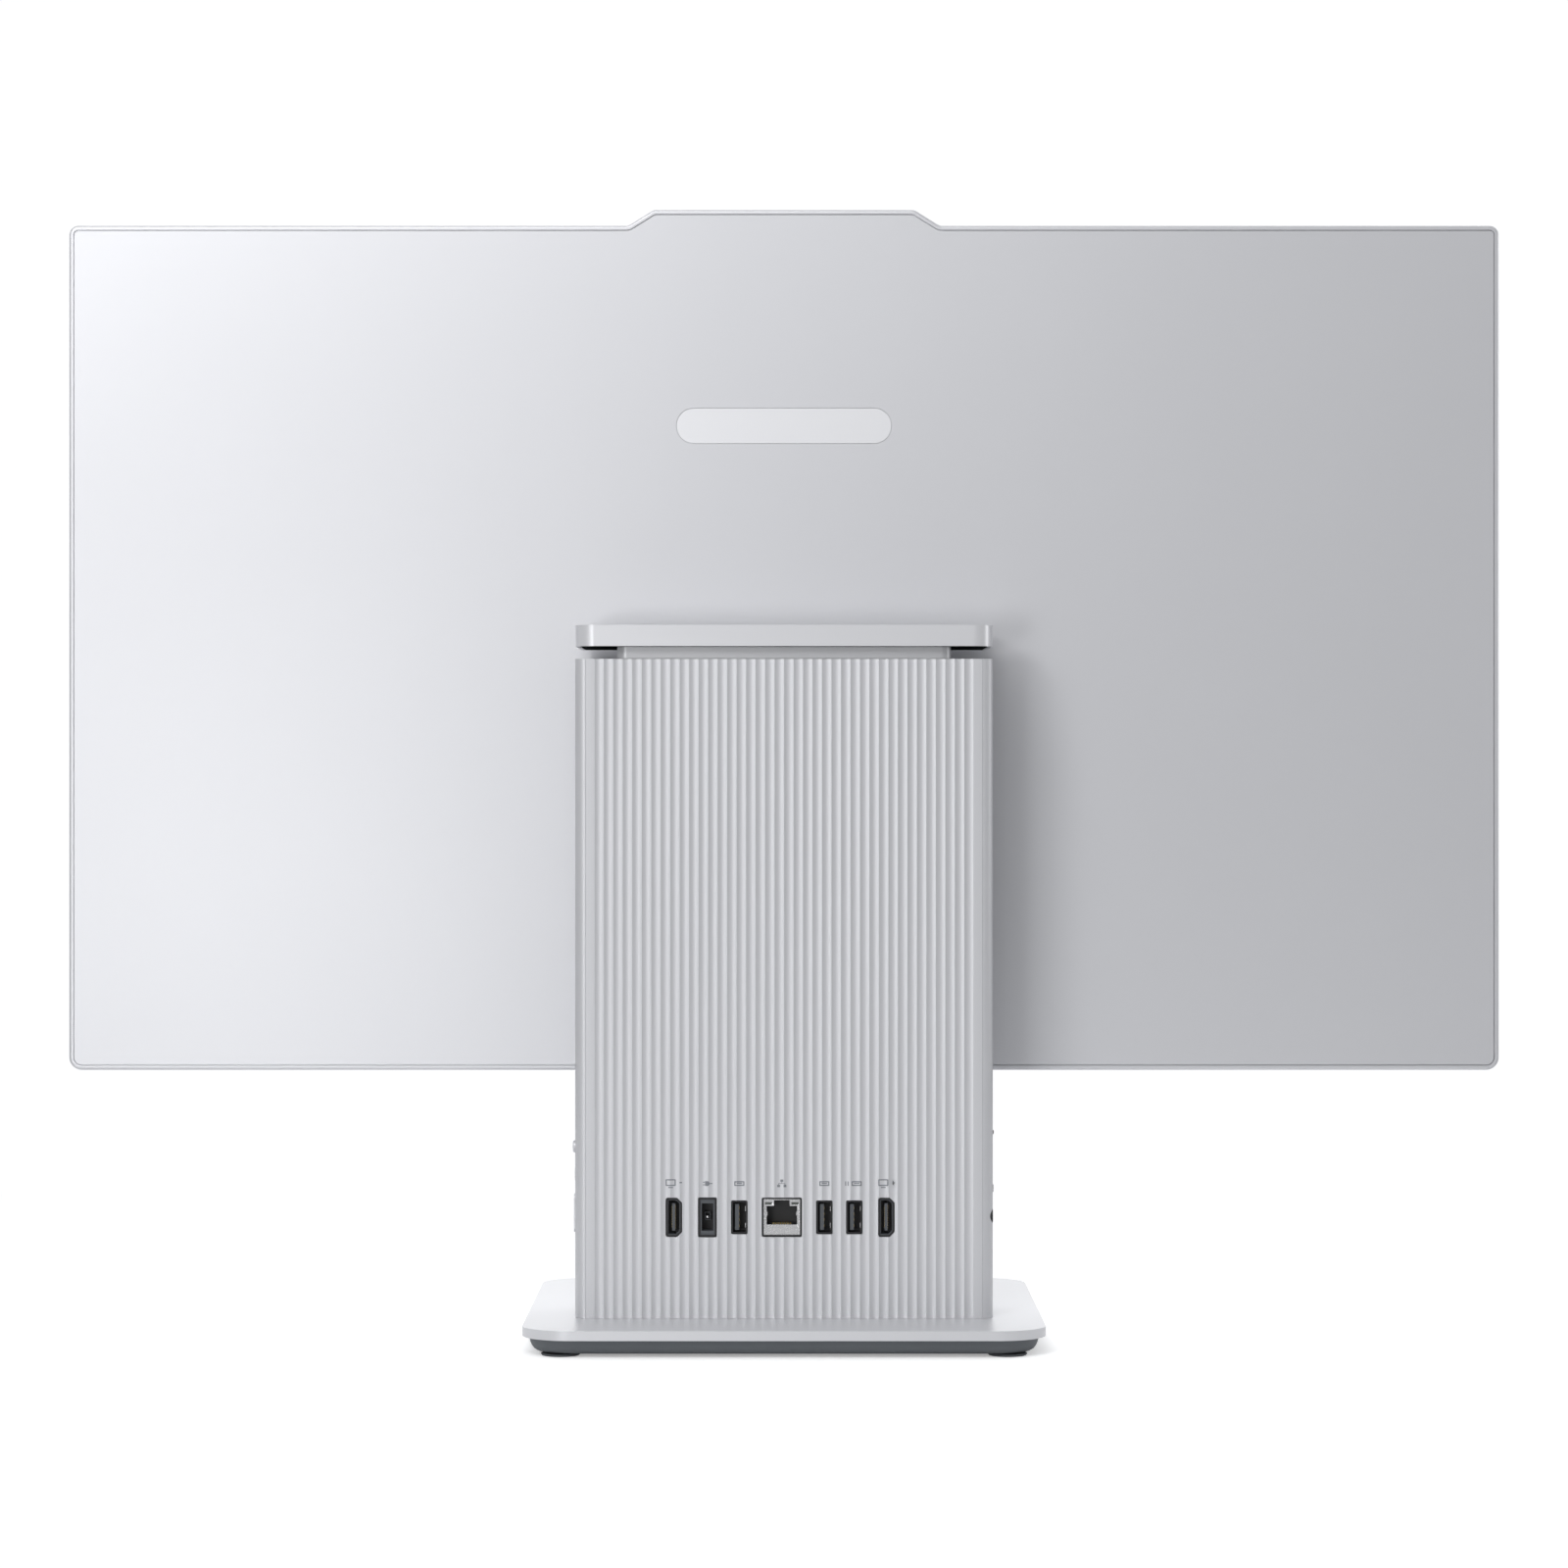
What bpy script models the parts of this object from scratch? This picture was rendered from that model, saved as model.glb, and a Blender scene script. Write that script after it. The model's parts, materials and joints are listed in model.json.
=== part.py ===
"""All-in-one computer: a flat display on a tower that holds the computer, on a base plate.

Metres, +Z up. The screen faces -Y and the sockets face +Y. Left and right are those of a
person who faces the screen, so +X is right. The origin is the middle of the footprint, on the
surface that the computer stands on.
"""

import math

import bmesh
import bpy
from mathutils import Matrix, Vector

MM = 0.001
GAP = 0.3 * MM

# ---- base ----
BASE_WIDTH = 213.9 * MM
BASE_DEPTH = 194.0 * MM
BASE_CORNER = 20.0 * MM
BASE_TOP = 11.3 * MM
BASE_PLATE_THICK = 4.0 * MM
SKIRT_INSET = 2.6 * MM
SKIRT_BOTTOM = 1.2 * MM
SKIRT_WALL = 4.0 * MM
SKIRT_FLOOR = 1.4 * MM
FOOT_RADIUS = 8.0 * MM
FOOT_X = 91.0 * MM
FOOT_Y = 83.0 * MM
SCREW_X = 48.0 * MM
SCREW_Y = (21.0 * MM, 39.0 * MM)

# ---- tower ----
TOWER_HALF = 86.6 * MM
TOWER_FRONT = 9.0 * MM
TOWER_BACK = 54.0 * MM
TOWER_SEAM = 20.0 * MM
TOWER_TOP = 284.3 * MM
TOWER_BOTTOM = BASE_TOP + GAP
TOWER_CORNER = 4.3 * MM
TOWER_WALL = 2.2 * MM
TOWER_BACK_WALL = 3.0 * MM
FLUTES = 40
FLUTE_SPAN = 157.1 * MM
FLUTE_DEPTH = 0.30 * MM
FLUTE_STEPS = 4

# ---- sockets and side controls ----
PORT_Z = 53.1 * MM
PORT_FACE = TOWER_BACK - 0.9 * MM
PORT_DEPTH = 11.0 * MM
SOCKET_FLOOR = 1.5 * MM
VIDEO_X = (45.6 * MM, -42.4 * MM)
VIDEO_SIZE = (6.3 * MM, 15.7 * MM)
VIDEO_KEY = 1.9 * MM
POWER_X = 31.7 * MM
POWER_SIZE = (7.3 * MM, 16.0 * MM)
USB_X = (18.5 * MM, -16.7 * MM, -29.1 * MM)
USB_SIZE = (6.3 * MM, 13.5 * MM)
USB_MOUTH = (5.0 * MM, 12.2 * MM)
USB_TONGUE = (1.8 * MM, 11.0 * MM, -0.9 * MM)
NETWORK_X = 0.9 * MM
NETWORK_SIZE = (16.1 * MM, 15.8 * MM)
SIDE_Y = 42.0 * MM
SIDE_USB_Z = 54.1 * MM
SIDE_USB_PROUD = 0.7 * MM
SIDE_USB_FLANGE = (8.7 * MM, 15.7 * MM, 0.4 * MM)
SIDE_USB_DEPTH = 18.0 * MM
USB_C_Z = 64.4 * MM
USB_C_SIZE = (8.9 * MM, 3.2 * MM)
USB_C_DEPTH = 9.8 * MM
USB_C_PROUD = 0.5 * MM
AUDIO_Y = 47.9 * MM
AUDIO_Z = 53.4 * MM
AUDIO_RADIUS = 2.9 * MM
AUDIO_BORE = 1.75 * MM
AUDIO_DEPTH = 13.0 * MM
STATUS_Z = 96.3 * MM
STATUS_RADIUS = 1.4 * MM
STATUS_SUNK = 0.3 * MM
POWER_BUTTON = {"z": 81.6 * MM, "radius": 2.6 * MM, "proud": 1.3 * MM, "edge": 0.5 * MM}
MODE_BUTTON = {"z": 70.4 * MM, "radius": 2.95 * MM, "proud": 0.4 * MM, "edge": 0.2 * MM}
BUTTON_FLANGE = 1.1 * MM
BUTTON_FLANGE_THICK = 0.9 * MM
BUTTON_STEM_RADIUS = 1.2 * MM
BUTTON_STEM_END = -6.2 * MM

# ---- cap and neck ----
CAP_BOTTOM = 289.6 * MM
CAP_TOP = 298.4 * MM
CAP_FRONT = -4.5 * MM
CAP_CORNER = 8.0 * MM
CAP_WALL = 1.8 * MM
NECK_HALF = 69.4 * MM

# ---- display ----
SCREEN_WIDTH = 613.0 * MM
SCREEN_BOTTOM = 109.9 * MM
SCREEN_TOP = 471.9 * MM
SCREEN_FRONT = -28.0 * MM
SCREEN_BACK = -11.0 * MM
SCREEN_TOP_CORNER = 4.0 * MM
SCREEN_BOTTOM_CORNER = 5.5 * MM
BUMP_TOP = 478.7 * MM
BUMP_FOOT_HALF = 66.8 * MM
BUMP_TOP_HALF = 55.9 * MM
BUMP_BLEND = 4.0 * MM
RIM_WALL = 1.9 * MM
GROOVE = 0.5 * MM
CHIN_HEIGHT = 13.0 * MM
COVER_THICK = 2.0 * MM
PANEL_THICK = 2.2 * MM

# ---- camera ----
CAMERA_Z = 473.2 * MM
CAMERA_HOLE = 2.2 * MM
SHUTTER_TRAVEL = 7.0 * MM
SHUTTER_TAB = (-22.5 * MM, -19.5 * MM)
SHUTTER_SLOT_LOW = -22.8 * MM
SHUTTER_SLOT_HALF = 0.9 * MM

# ---- hinge ----
HINGE_Y = 0.0
HINGE_Z = 283.0 * MM
HINGE_X = 45.0 * MM
SHAFT_RADIUS = 3.0 * MM
SHAFT_SIDES = 32
KNUCKLE_RADIUS = 6.0 * MM
KNUCKLE_HALF = 11.5 * MM
EAR_THICK = 5.0 * MM
RUNNING_CLEARANCE = 0.06 * MM
ARM_LOW = 277.2 * MM
ARM_HIGH = 286.0 * MM

# ---- cooling ----
FAN_X = 0.0
FAN_Z = 225.0 * MM
FAN_RADIUS = 30.0 * MM
FAN_HUB = 12.0 * MM
FAN_BLADES = 13
FAN_AXLE = 2.0 * MM
FINS = 19
FIN_PITCH = 4.0 * MM
FIN_THICK = 0.9 * MM
PIPE_RADIUS = 1.6 * MM
PIPE_Y = 33.5 * MM
PIPE_BEND = 10.0 * MM

# ---- speakers and boards ----
GRILLE_HALF = 70.0 * MM
GRILLE_Z = (26.0 * MM, 90.0 * MM)
SPEAKER_X = (12.0 * MM, 64.0 * MM)
SPEAKER_Z = (30.0 * MM, 86.0 * MM)
SPEAKER_DEPTH = 14.5 * MM
BOARD_THICK = 1.6 * MM
MAINBOARD_FRONT = 40.0 * MM
MAINBOARD_HALF = 66.0 * MM
MAINBOARD_Z = (20.0 * MM, 182.0 * MM)
PROCESSOR_Z = 140.0 * MM
PROCESSOR_HALF = 19.0 * MM

RIGHT = 1
LEFT = -1
FACING = {"back": math.pi, "right": math.pi / 2, "left": -math.pi / 2}

SILVER = ("silver", (0.62, 0.63, 0.66), 0.38, 0.55)
FLUTED = ("fluted_silver", (0.60, 0.61, 0.64), 0.42, 0.45)
SLATE = ("slate_plastic", (0.055, 0.065, 0.075), 0.55, 0.0)
BLACK = ("black_plastic", (0.012, 0.012, 0.014), 0.45, 0.0)
RUBBER = ("rubber", (0.02, 0.02, 0.022), 0.85, 0.0)
STEEL = ("steel", (0.52, 0.53, 0.55), 0.35, 1.0)
BOARD = ("circuit_board", (0.02, 0.10, 0.06), 0.5, 0.0)
COPPER = ("copper", (0.72, 0.36, 0.20), 0.3, 1.0)
GLASS = ("screen_glass", (0.010, 0.010, 0.012), 0.12, 0.0)
LAMP = ("status_lamp", (0.85, 0.87, 0.90), 0.3, 0.0)


# ---- scene and materials ----

def clear_scene():
    for item in list(bpy.data.objects):
        bpy.data.objects.remove(item, do_unlink=True)


def new_collection(name):
    collection = bpy.data.collections.new(name)
    bpy.context.scene.collection.children.link(collection)
    return collection


def material(spec):
    name, color, roughness, metallic = spec
    found = bpy.data.materials.get(name)
    if found:
        return found
    made = bpy.data.materials.new(name)
    made.use_nodes = True
    shader = made.node_tree.nodes["Principled BSDF"]
    shader.inputs["Base Color"].default_value = (*color, 1.0)
    shader.inputs["Roughness"].default_value = roughness
    shader.inputs["Metallic"].default_value = metallic
    return made


clear_scene()
PARTS = new_collection("all_in_one_pc")
CUTTERS = new_collection("cutters")


def keep(thing, spec):
    """Finishes a real piece: it goes in the parts collection and takes its material."""
    PARTS.objects.link(thing)
    thing.data.materials.clear()
    thing.data.materials.append(material(spec))
    thing.data.shade_smooth()
    thing.data.set_sharp_from_angle(angle=math.radians(32))
    return thing


def tool(thing):
    """Marks a shape that only cuts or extends another piece."""
    CUTTERS.objects.link(thing)
    thing.hide_render = True
    return thing


def combine(thing, other, operation):
    step = thing.modifiers.new(operation.lower(), "BOOLEAN")
    step.operation = operation
    step.solver = "EXACT"
    step.object = tool(other)


def cut(thing, *others):
    for other in others:
        combine(thing, other, "DIFFERENCE")
    return thing


def join(thing, *others):
    for other in others:
        combine(thing, other, "UNION")
    return thing


# ---- shapes ----

def box(name, low, high):
    """A block between two corners, with its origin at its centre."""
    low, high = Vector(low), Vector(high)
    work = bmesh.new()
    bmesh.ops.create_cube(work, size=1.0)
    bmesh.ops.scale(work, vec=high - low, verts=work.verts)
    mesh = bpy.data.meshes.new(name)
    work.to_mesh(mesh)
    work.free()
    made = bpy.data.objects.new(name, mesh)
    made.location = (low + high) / 2
    return made


def rod(name, centre, radius, length, axis, sides=24):
    """A cylinder along X, Y or Z."""
    work = bmesh.new()
    bmesh.ops.create_cone(work, cap_ends=True, segments=sides, radius1=radius,
                          radius2=radius, depth=length)
    mesh = bpy.data.meshes.new(name)
    work.to_mesh(mesh)
    work.free()
    made = bpy.data.objects.new(name, mesh)
    made.location = centre
    made.rotation_euler = {"X": (0, math.pi / 2, 0), "Y": (-math.pi / 2, 0, 0), "Z": (0, 0, 0)}[axis]
    return made


def turned(name, profile, centre, axis, sides=24):
    """A turned piece. The profile's (radius, height) points run from its top to its bottom."""
    mesh = bpy.data.meshes.new(name)
    points = [(radius, 0.0, height) for radius, height in profile]
    mesh.from_pydata(points, [(i, i + 1) for i in range(len(points) - 1)], [])
    made = bpy.data.objects.new(name, mesh)
    made.location = centre
    made.rotation_euler = {"X": (0, math.pi / 2, 0), "-X": (0, -math.pi / 2, 0),
                           "Y": (-math.pi / 2, 0, 0), "Z": (0, 0, 0)}[axis]
    screw = made.modifiers.new("turn", "SCREW")
    screw.steps = sides
    screw.render_steps = sides
    screw.use_merge_vertices = True
    screw.merge_threshold = 0.00001
    return made


def outline(corners, inset=0.0, steps=5):
    """A closed outline with rounded corners, moved inwards by inset.

    The (x, y, radius) corners run anticlockwise. A radius of 0 leaves a sharp corner.
    """
    count = len(corners)
    points = [Vector(corner[:2]) for corner in corners]
    path = []
    for i in range(count):
        before = (points[i] - points[i - 1]).normalized()
        after = (points[(i + 1) % count] - points[i]).normalized()
        turn = before.x * after.y - before.y * after.x
        angle = math.atan2(turn, before.dot(after))
        inward = Vector((-before.y, before.x)) + Vector((-after.y, after.x))
        tip = points[i] + inward.normalized() * (inset / math.cos(angle / 2))
        radius = corners[i][2] - inset if turn > 0 else corners[i][2] + inset
        if corners[i][2] == 0 or radius <= 0:
            path.append(tip)
            continue
        reach = radius * abs(math.tan(angle / 2))
        start = tip - before * reach
        side = 1 if turn > 0 else -1
        centre = start + Vector((-before.y, before.x)) * (radius * side)
        for step in range(steps + 1):
            a = angle * step / steps
            arm = start - centre
            path.append(centre + Vector((arm.x * math.cos(a) - arm.y * math.sin(a),
                                         arm.x * math.sin(a) + arm.y * math.cos(a))))
    return path


def rectangle(low_x, low_y, high_x, high_y, radius=0.0, inset=0.0, steps=5):
    corners = [(low_x, low_y, radius), (high_x, low_y, radius),
               (high_x, high_y, radius), (low_x, high_y, radius)]
    return outline(corners, inset, steps)


def circle(x, y, radius, sides=20):
    return [Vector((x + radius * math.cos(math.tau * i / sides),
                    y + radius * math.sin(math.tau * i / sides))) for i in range(sides)]


def slab(name, loops, low, high, plane="XY"):
    """Flat outlines pulled to a thickness, from low to high across their plane.

    The first loop is the outside and the others are holes. In plane XZ the second coordinate
    is height and the thickness runs along Y; in plane YZ it runs along X.
    """
    curve = bpy.data.curves.new(name, "CURVE")
    curve.dimensions = "2D"
    curve.fill_mode = "BOTH"
    curve.extrude = (high - low) / 2
    for loop in loops:
        spline = curve.splines.new("POLY")
        spline.points.add(len(loop) - 1)
        for point, place in zip(spline.points, loop):
            point.co = (place.x, place.y, 0.0, 1.0)
        spline.use_cyclic_u = True
    made = bpy.data.objects.new(name, solid_mesh(curve))
    made.data.name = name
    middle = (low + high) / 2
    if plane == "XY":
        made.location = (0, 0, middle)
    elif plane == "XZ":
        made.location = (0, middle, 0)
        made.rotation_euler = (math.pi / 2, 0, 0)
    else:
        made.location = (middle, 0, 0)
        made.rotation_euler = (math.pi / 2, 0, math.pi / 2)
    return made


def round_rim(thing, side, width, segments):
    """Rounds the edges round a slab's upper (+1) or lower (-1) face, in its own frame."""
    work = bmesh.new()
    work.from_mesh(thing.data)
    height = max(side * vertex.co.z for vertex in work.verts)

    def on_face(vertex):
        return side * vertex.co.z > height - 0.000001

    faces = [f for f in work.faces if all(on_face(v) for v in f.verts)]
    if len(faces) > 1:
        bmesh.ops.dissolve_faces(work, faces=faces)
    rim = [e for e in work.edges if all(on_face(v) for v in e.verts) and not e.is_boundary]
    bmesh.ops.bevel(work, geom=rim, offset=width, segments=segments, profile=0.5, affect="EDGES",
                    clamp_overlap=True)
    bmesh.ops.triangulate(work, faces=[f for f in work.faces if len(f.verts) > 4])
    work.to_mesh(thing.data)
    work.free()
    return thing


def mirrored(maker):
    """Calls maker for the right-hand and the left-hand side."""
    maker("right", RIGHT)
    maker("left", LEFT)


# ---- base ----

def make_base():
    half_x, half_y = BASE_WIDTH / 2, BASE_DEPTH / 2
    corners = (-half_x, -half_y, half_x, half_y)
    plate_low = BASE_TOP - BASE_PLATE_THICK
    holes = [(x * SCREW_X, y) for x in (LEFT, RIGHT) for y in SCREW_Y]
    plate = slab("base_plate", [rectangle(*corners, BASE_CORNER, steps=8)], plate_low, BASE_TOP)
    round_rim(plate, 1, 0.9 * MM, 2)
    round_rim(plate, -1, 0.5 * MM, 1)
    cut(plate, *(rod("plate_hole", (x, y, plate_low), 2.1 * MM, 20 * MM, "Z", 16) for x, y in holes))
    keep(plate, SILVER)

    skirt_top = plate_low - GAP
    skirt = slab("base_skirt", [rectangle(*corners, BASE_CORNER, SKIRT_INSET, 8)], SKIRT_BOTTOM, skirt_top)
    round_rim(skirt, -1, 3.4 * MM, 3)
    inner = SKIRT_INSET + SKIRT_WALL
    hollow = slab("skirt_hollow", [rectangle(*corners, BASE_CORNER, inner, 5)],
                  SKIRT_BOTTOM + SKIRT_FLOOR, skirt_top + 5 * MM)
    cut(skirt, hollow)
    cut(skirt, *(rod("skirt_hole", (x, y, SKIRT_BOTTOM), 4.5 * MM, 20 * MM, "Z", 16) for x, y in holes))
    keep(skirt, SLATE)

    weight_holes = [circle(x, y, 4.5 * MM, 16) for x, y in holes]
    weight = slab("base_weight", [rectangle(*corners, BASE_CORNER, inner + 2 * MM, 4)] + weight_holes,
                  SKIRT_BOTTOM + SKIRT_FLOOR + GAP, skirt_top - GAP)
    keep(weight, STEEL)

    foot_top = SKIRT_BOTTOM - GAP
    foot_profile = [(0, foot_top), (FOOT_RADIUS, foot_top), (FOOT_RADIUS, 0.5 * MM),
                    (FOOT_RADIUS - 0.6 * MM, 0), (0, 0)]
    for row, y in (("front", -FOOT_Y), ("rear", FOOT_Y)):
        for side, x in (("left", -FOOT_X), ("right", FOOT_X)):
            keep(turned(f"foot_{row}_{side}", foot_profile, (x, y, 0), "Z"), RUBBER)

    head_top = plate_low - GAP
    head_low = head_top - 2.2 * MM
    tip = TOWER_BOTTOM + 6 * MM
    screw_profile = [(0, tip), (1.7 * MM, tip), (1.7 * MM, head_top), (3.3 * MM, head_top),
                     (3.3 * MM, head_low), (0, head_low)]
    for number, (x, y) in enumerate(holes, 1):
        keep(turned(f"base_screw_{number}", screw_profile, (x, y, 0), "Z", 12), STEEL)


# ---- tower shells ----

def fluted_line():
    """The back wall's outer line, from its right-hand flute to its left-hand one."""
    pitch = FLUTE_SPAN / FLUTES
    radius = (pitch * pitch / 4 + FLUTE_DEPTH * FLUTE_DEPTH) / (2 * FLUTE_DEPTH)
    line = [Vector((FLUTE_SPAN / 2, TOWER_BACK))]
    for flute in range(FLUTES):
        middle = FLUTE_SPAN / 2 - pitch * (flute + 0.5)
        for step in range(1, FLUTE_STEPS + 1):
            across = pitch * (step / FLUTE_STEPS - 0.5)
            sink = math.sqrt(radius * radius - across * across) - (radius - FLUTE_DEPTH)
            line.append(Vector((middle - across, TOWER_BACK - sink)))
    return line


def back_profile():
    """The plan of the rear shell: two sides, round corners and the fluted back wall."""
    seam = TOWER_SEAM + GAP / 2
    half, inner = TOWER_HALF, TOWER_HALF - TOWER_WALL
    wall = TOWER_BACK - TOWER_BACK_WALL
    corners = rectangle(-half, seam - 50 * MM, half, TOWER_BACK, TOWER_CORNER, steps=5)
    right_corner = [p for p in corners if p.y > seam and p.x > 0]
    left_corner = [p for p in corners if p.y > seam and p.x < 0]
    outside = [Vector((half, seam))] + right_corner + fluted_line() + left_corner + [Vector((-half, seam))]
    inside = [Vector((-inner, seam)), Vector((-inner, wall - 2 * MM)), Vector((-inner + 2 * MM, wall)),
              Vector((inner - 2 * MM, wall)), Vector((inner, wall - 2 * MM)), Vector((inner, seam))]
    return outside + inside


def port_hole(width, height, x, z):
    """A cutter through the back wall, a little larger than the socket that it frames."""
    return box("port_hole", (x - width / 2 - GAP, TOWER_BACK - 8 * MM, z - height / 2 - GAP),
               (x + width / 2 + GAP, TOWER_BACK + 4 * MM, z + height / 2 + GAP))


def side_hole(side, width, height, z):
    """A cutter through a side wall: width runs along Y and height along Z."""
    near, far = side * (TOWER_HALF - 8 * MM), side * (TOWER_HALF + 4 * MM)
    return box("side_hole", (min(near, far), SIDE_Y - width / 2 - GAP, z - height / 2 - GAP),
               (max(near, far), SIDE_Y + width / 2 + GAP, z + height / 2 + GAP))


def side_bore(side, radius, z, y=SIDE_Y):
    return rod("side_bore", (side * TOWER_HALF, y, z), radius + GAP, 14 * MM, "X", 20)


def make_shells():
    rear = slab("rear_shell", [back_profile()], TOWER_BOTTOM, TOWER_TOP)
    cut(rear, *(port_hole(*VIDEO_SIZE, x, PORT_Z) for x in VIDEO_X))
    cut(rear, *(port_hole(*USB_SIZE, x, PORT_Z) for x in USB_X))
    cut(rear, port_hole(*POWER_SIZE, POWER_X, PORT_Z), port_hole(*NETWORK_SIZE, NETWORK_X, PORT_Z))
    cut(rear, *(side_bore(RIGHT, button["radius"], button["z"]) for button in (POWER_BUTTON, MODE_BUTTON)))
    cut(rear, side_bore(RIGHT, STATUS_RADIUS, STATUS_Z), side_hole(RIGHT, *USB_SIZE, SIDE_USB_Z))
    cut(rear, side_hole(LEFT, *USB_C_SIZE, USB_C_Z), side_bore(LEFT, AUDIO_RADIUS, AUDIO_Z, AUDIO_Y))
    keep(rear, FLUTED)

    seam = TOWER_SEAM - GAP / 2
    half, inner = TOWER_HALF, TOWER_HALF - TOWER_WALL
    wall = TOWER_FRONT + TOWER_WALL
    corners = rectangle(-half, TOWER_FRONT, half, seam + 50 * MM, TOWER_CORNER, steps=5)
    outside = [p for p in corners if p.y < seam]
    profile = ([Vector((-half, seam))] + outside + [Vector((half, seam)), Vector((inner, seam))]
               + [Vector((inner, wall + 2 * MM)), Vector((inner - 2 * MM, wall))]
               + [Vector((-inner + 2 * MM, wall)), Vector((-inner, wall + 2 * MM)), Vector((-inner, seam))])
    front = slab("front_shell", [profile], TOWER_BOTTOM, TOWER_TOP)
    window = (-GRILLE_HALF, GRILLE_Z[0], GRILLE_HALF, GRILLE_Z[1], 4 * MM)
    cut(front, slab("grille_window", [rectangle(*window)], TOWER_FRONT - 4 * MM, wall + 4 * MM, "XZ"))
    keep(front, SILVER)
    keep(slab("speaker_grille", [rectangle(*window, GAP)], TOWER_FRONT + 0.3 * MM, TOWER_FRONT + 1.5 * MM,
              "XZ"), SLATE)

    def speaker(side, sign):
        near, far = sorted(sign * x for x in SPEAKER_X)
        face = wall + 0.5 * MM
        case = box(f"speaker_{side}", (near, face, SPEAKER_Z[0]), (far, face + SPEAKER_DEPTH, SPEAKER_Z[1]))
        middle = ((near + far) / 2, face, sum(SPEAKER_Z) / 2)
        dish = rod("speaker_dish", middle, 20 * MM, 6 * MM, "Y")
        dome = rod("speaker_dome", Vector(middle) + Vector((0, 3.5 * MM, 0)), 7 * MM, 5 * MM, "Y", 16)
        keep(join(cut(case, dish), dome), BLACK)

    mirrored(speaker)
    make_top_vent(inner, wall)


def make_top_vent(inner, wall):
    """The plate that closes the tower's top, with a row of slots near each side."""
    rim = rectangle(-inner, wall, inner, TOWER_BACK - TOWER_BACK_WALL, 4 * MM, GAP, 3)
    slots = []
    for sign in (LEFT, RIGHT):
        for step in range(8):
            x = sign * (72 - step * 5.5) * MM
            slots.append(rectangle(x - 1.3 * MM, 14 * MM, x + 1.3 * MM, 28 * MM))
    keep(slab("top_vent_plate", [rim] + slots, TOWER_TOP - 2.8 * MM, TOWER_TOP - 0.6 * MM), SLATE)


# ---- sockets ----

def aim(thing, place, facing):
    """Puts a socket's mouth at place. Its own +Z then points out of the tower."""
    thing.location = place
    thing.rotation_euler = (math.pi / 2, 0, FACING[facing])
    return thing


def block(name, points, low, high, place, facing):
    """A slab in a socket's own frame, where the mouth is at height 0 and the body below it."""
    made = slab(name, [points], low, high)
    made.data.transform(Matrix.Translation((0, 0, (low + high) / 2)))
    return aim(made, place, facing)


def centred(width, height, x=0.0, y=0.0, radius=0.0):
    return rectangle(x - width / 2, y - height / 2, x + width / 2, y + height / 2, radius, steps=3)


def keyed(width, height, bevel):
    """A rectangle whose two corners on the +x side are cut off."""
    w, h = width / 2, height / 2
    return [Vector(p) for p in ((-w, -h), (w - bevel, -h), (w, -h + bevel), (w, h - bevel),
                                (w - bevel, h), (-w, h))]


def socket(name, body, cavity, tongue, depth, place, facing, spec, flange=None):
    """A socket: a body with a cavity in its mouth and, in the cavity, a contact tongue.

    A flange (width, height, thickness) lies round its mouth, outside the wall.
    """
    floor = -depth + SOCKET_FLOOR
    made = block(name, body, -depth, 0, place, facing)
    if flange:
        join(made, block(name + "_flange", centred(*flange[:2]), -flange[2], 0, place, facing))
    cut(made, block(name + "_cavity", cavity, floor, 2 * MM, place, facing))
    if tongue:
        join(made, block(name + "_tongue", tongue, floor - 0.5 * MM, -1.2 * MM, place, facing))
    return keep(made, spec)


def latch_mouth():
    """The mouth of the network socket, with a notch above it for the plug's latch."""
    half, low, high = 5.9 * MM, -3.9 * MM, 3.4 * MM
    notch, notch_high = 3.1 * MM, 6.0 * MM
    corners = [(-half, low), (half, low), (half, high), (notch, high), (notch, notch_high),
               (-notch, notch_high), (-notch, high), (-half, high)]
    return [Vector(corner) for corner in corners]


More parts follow.
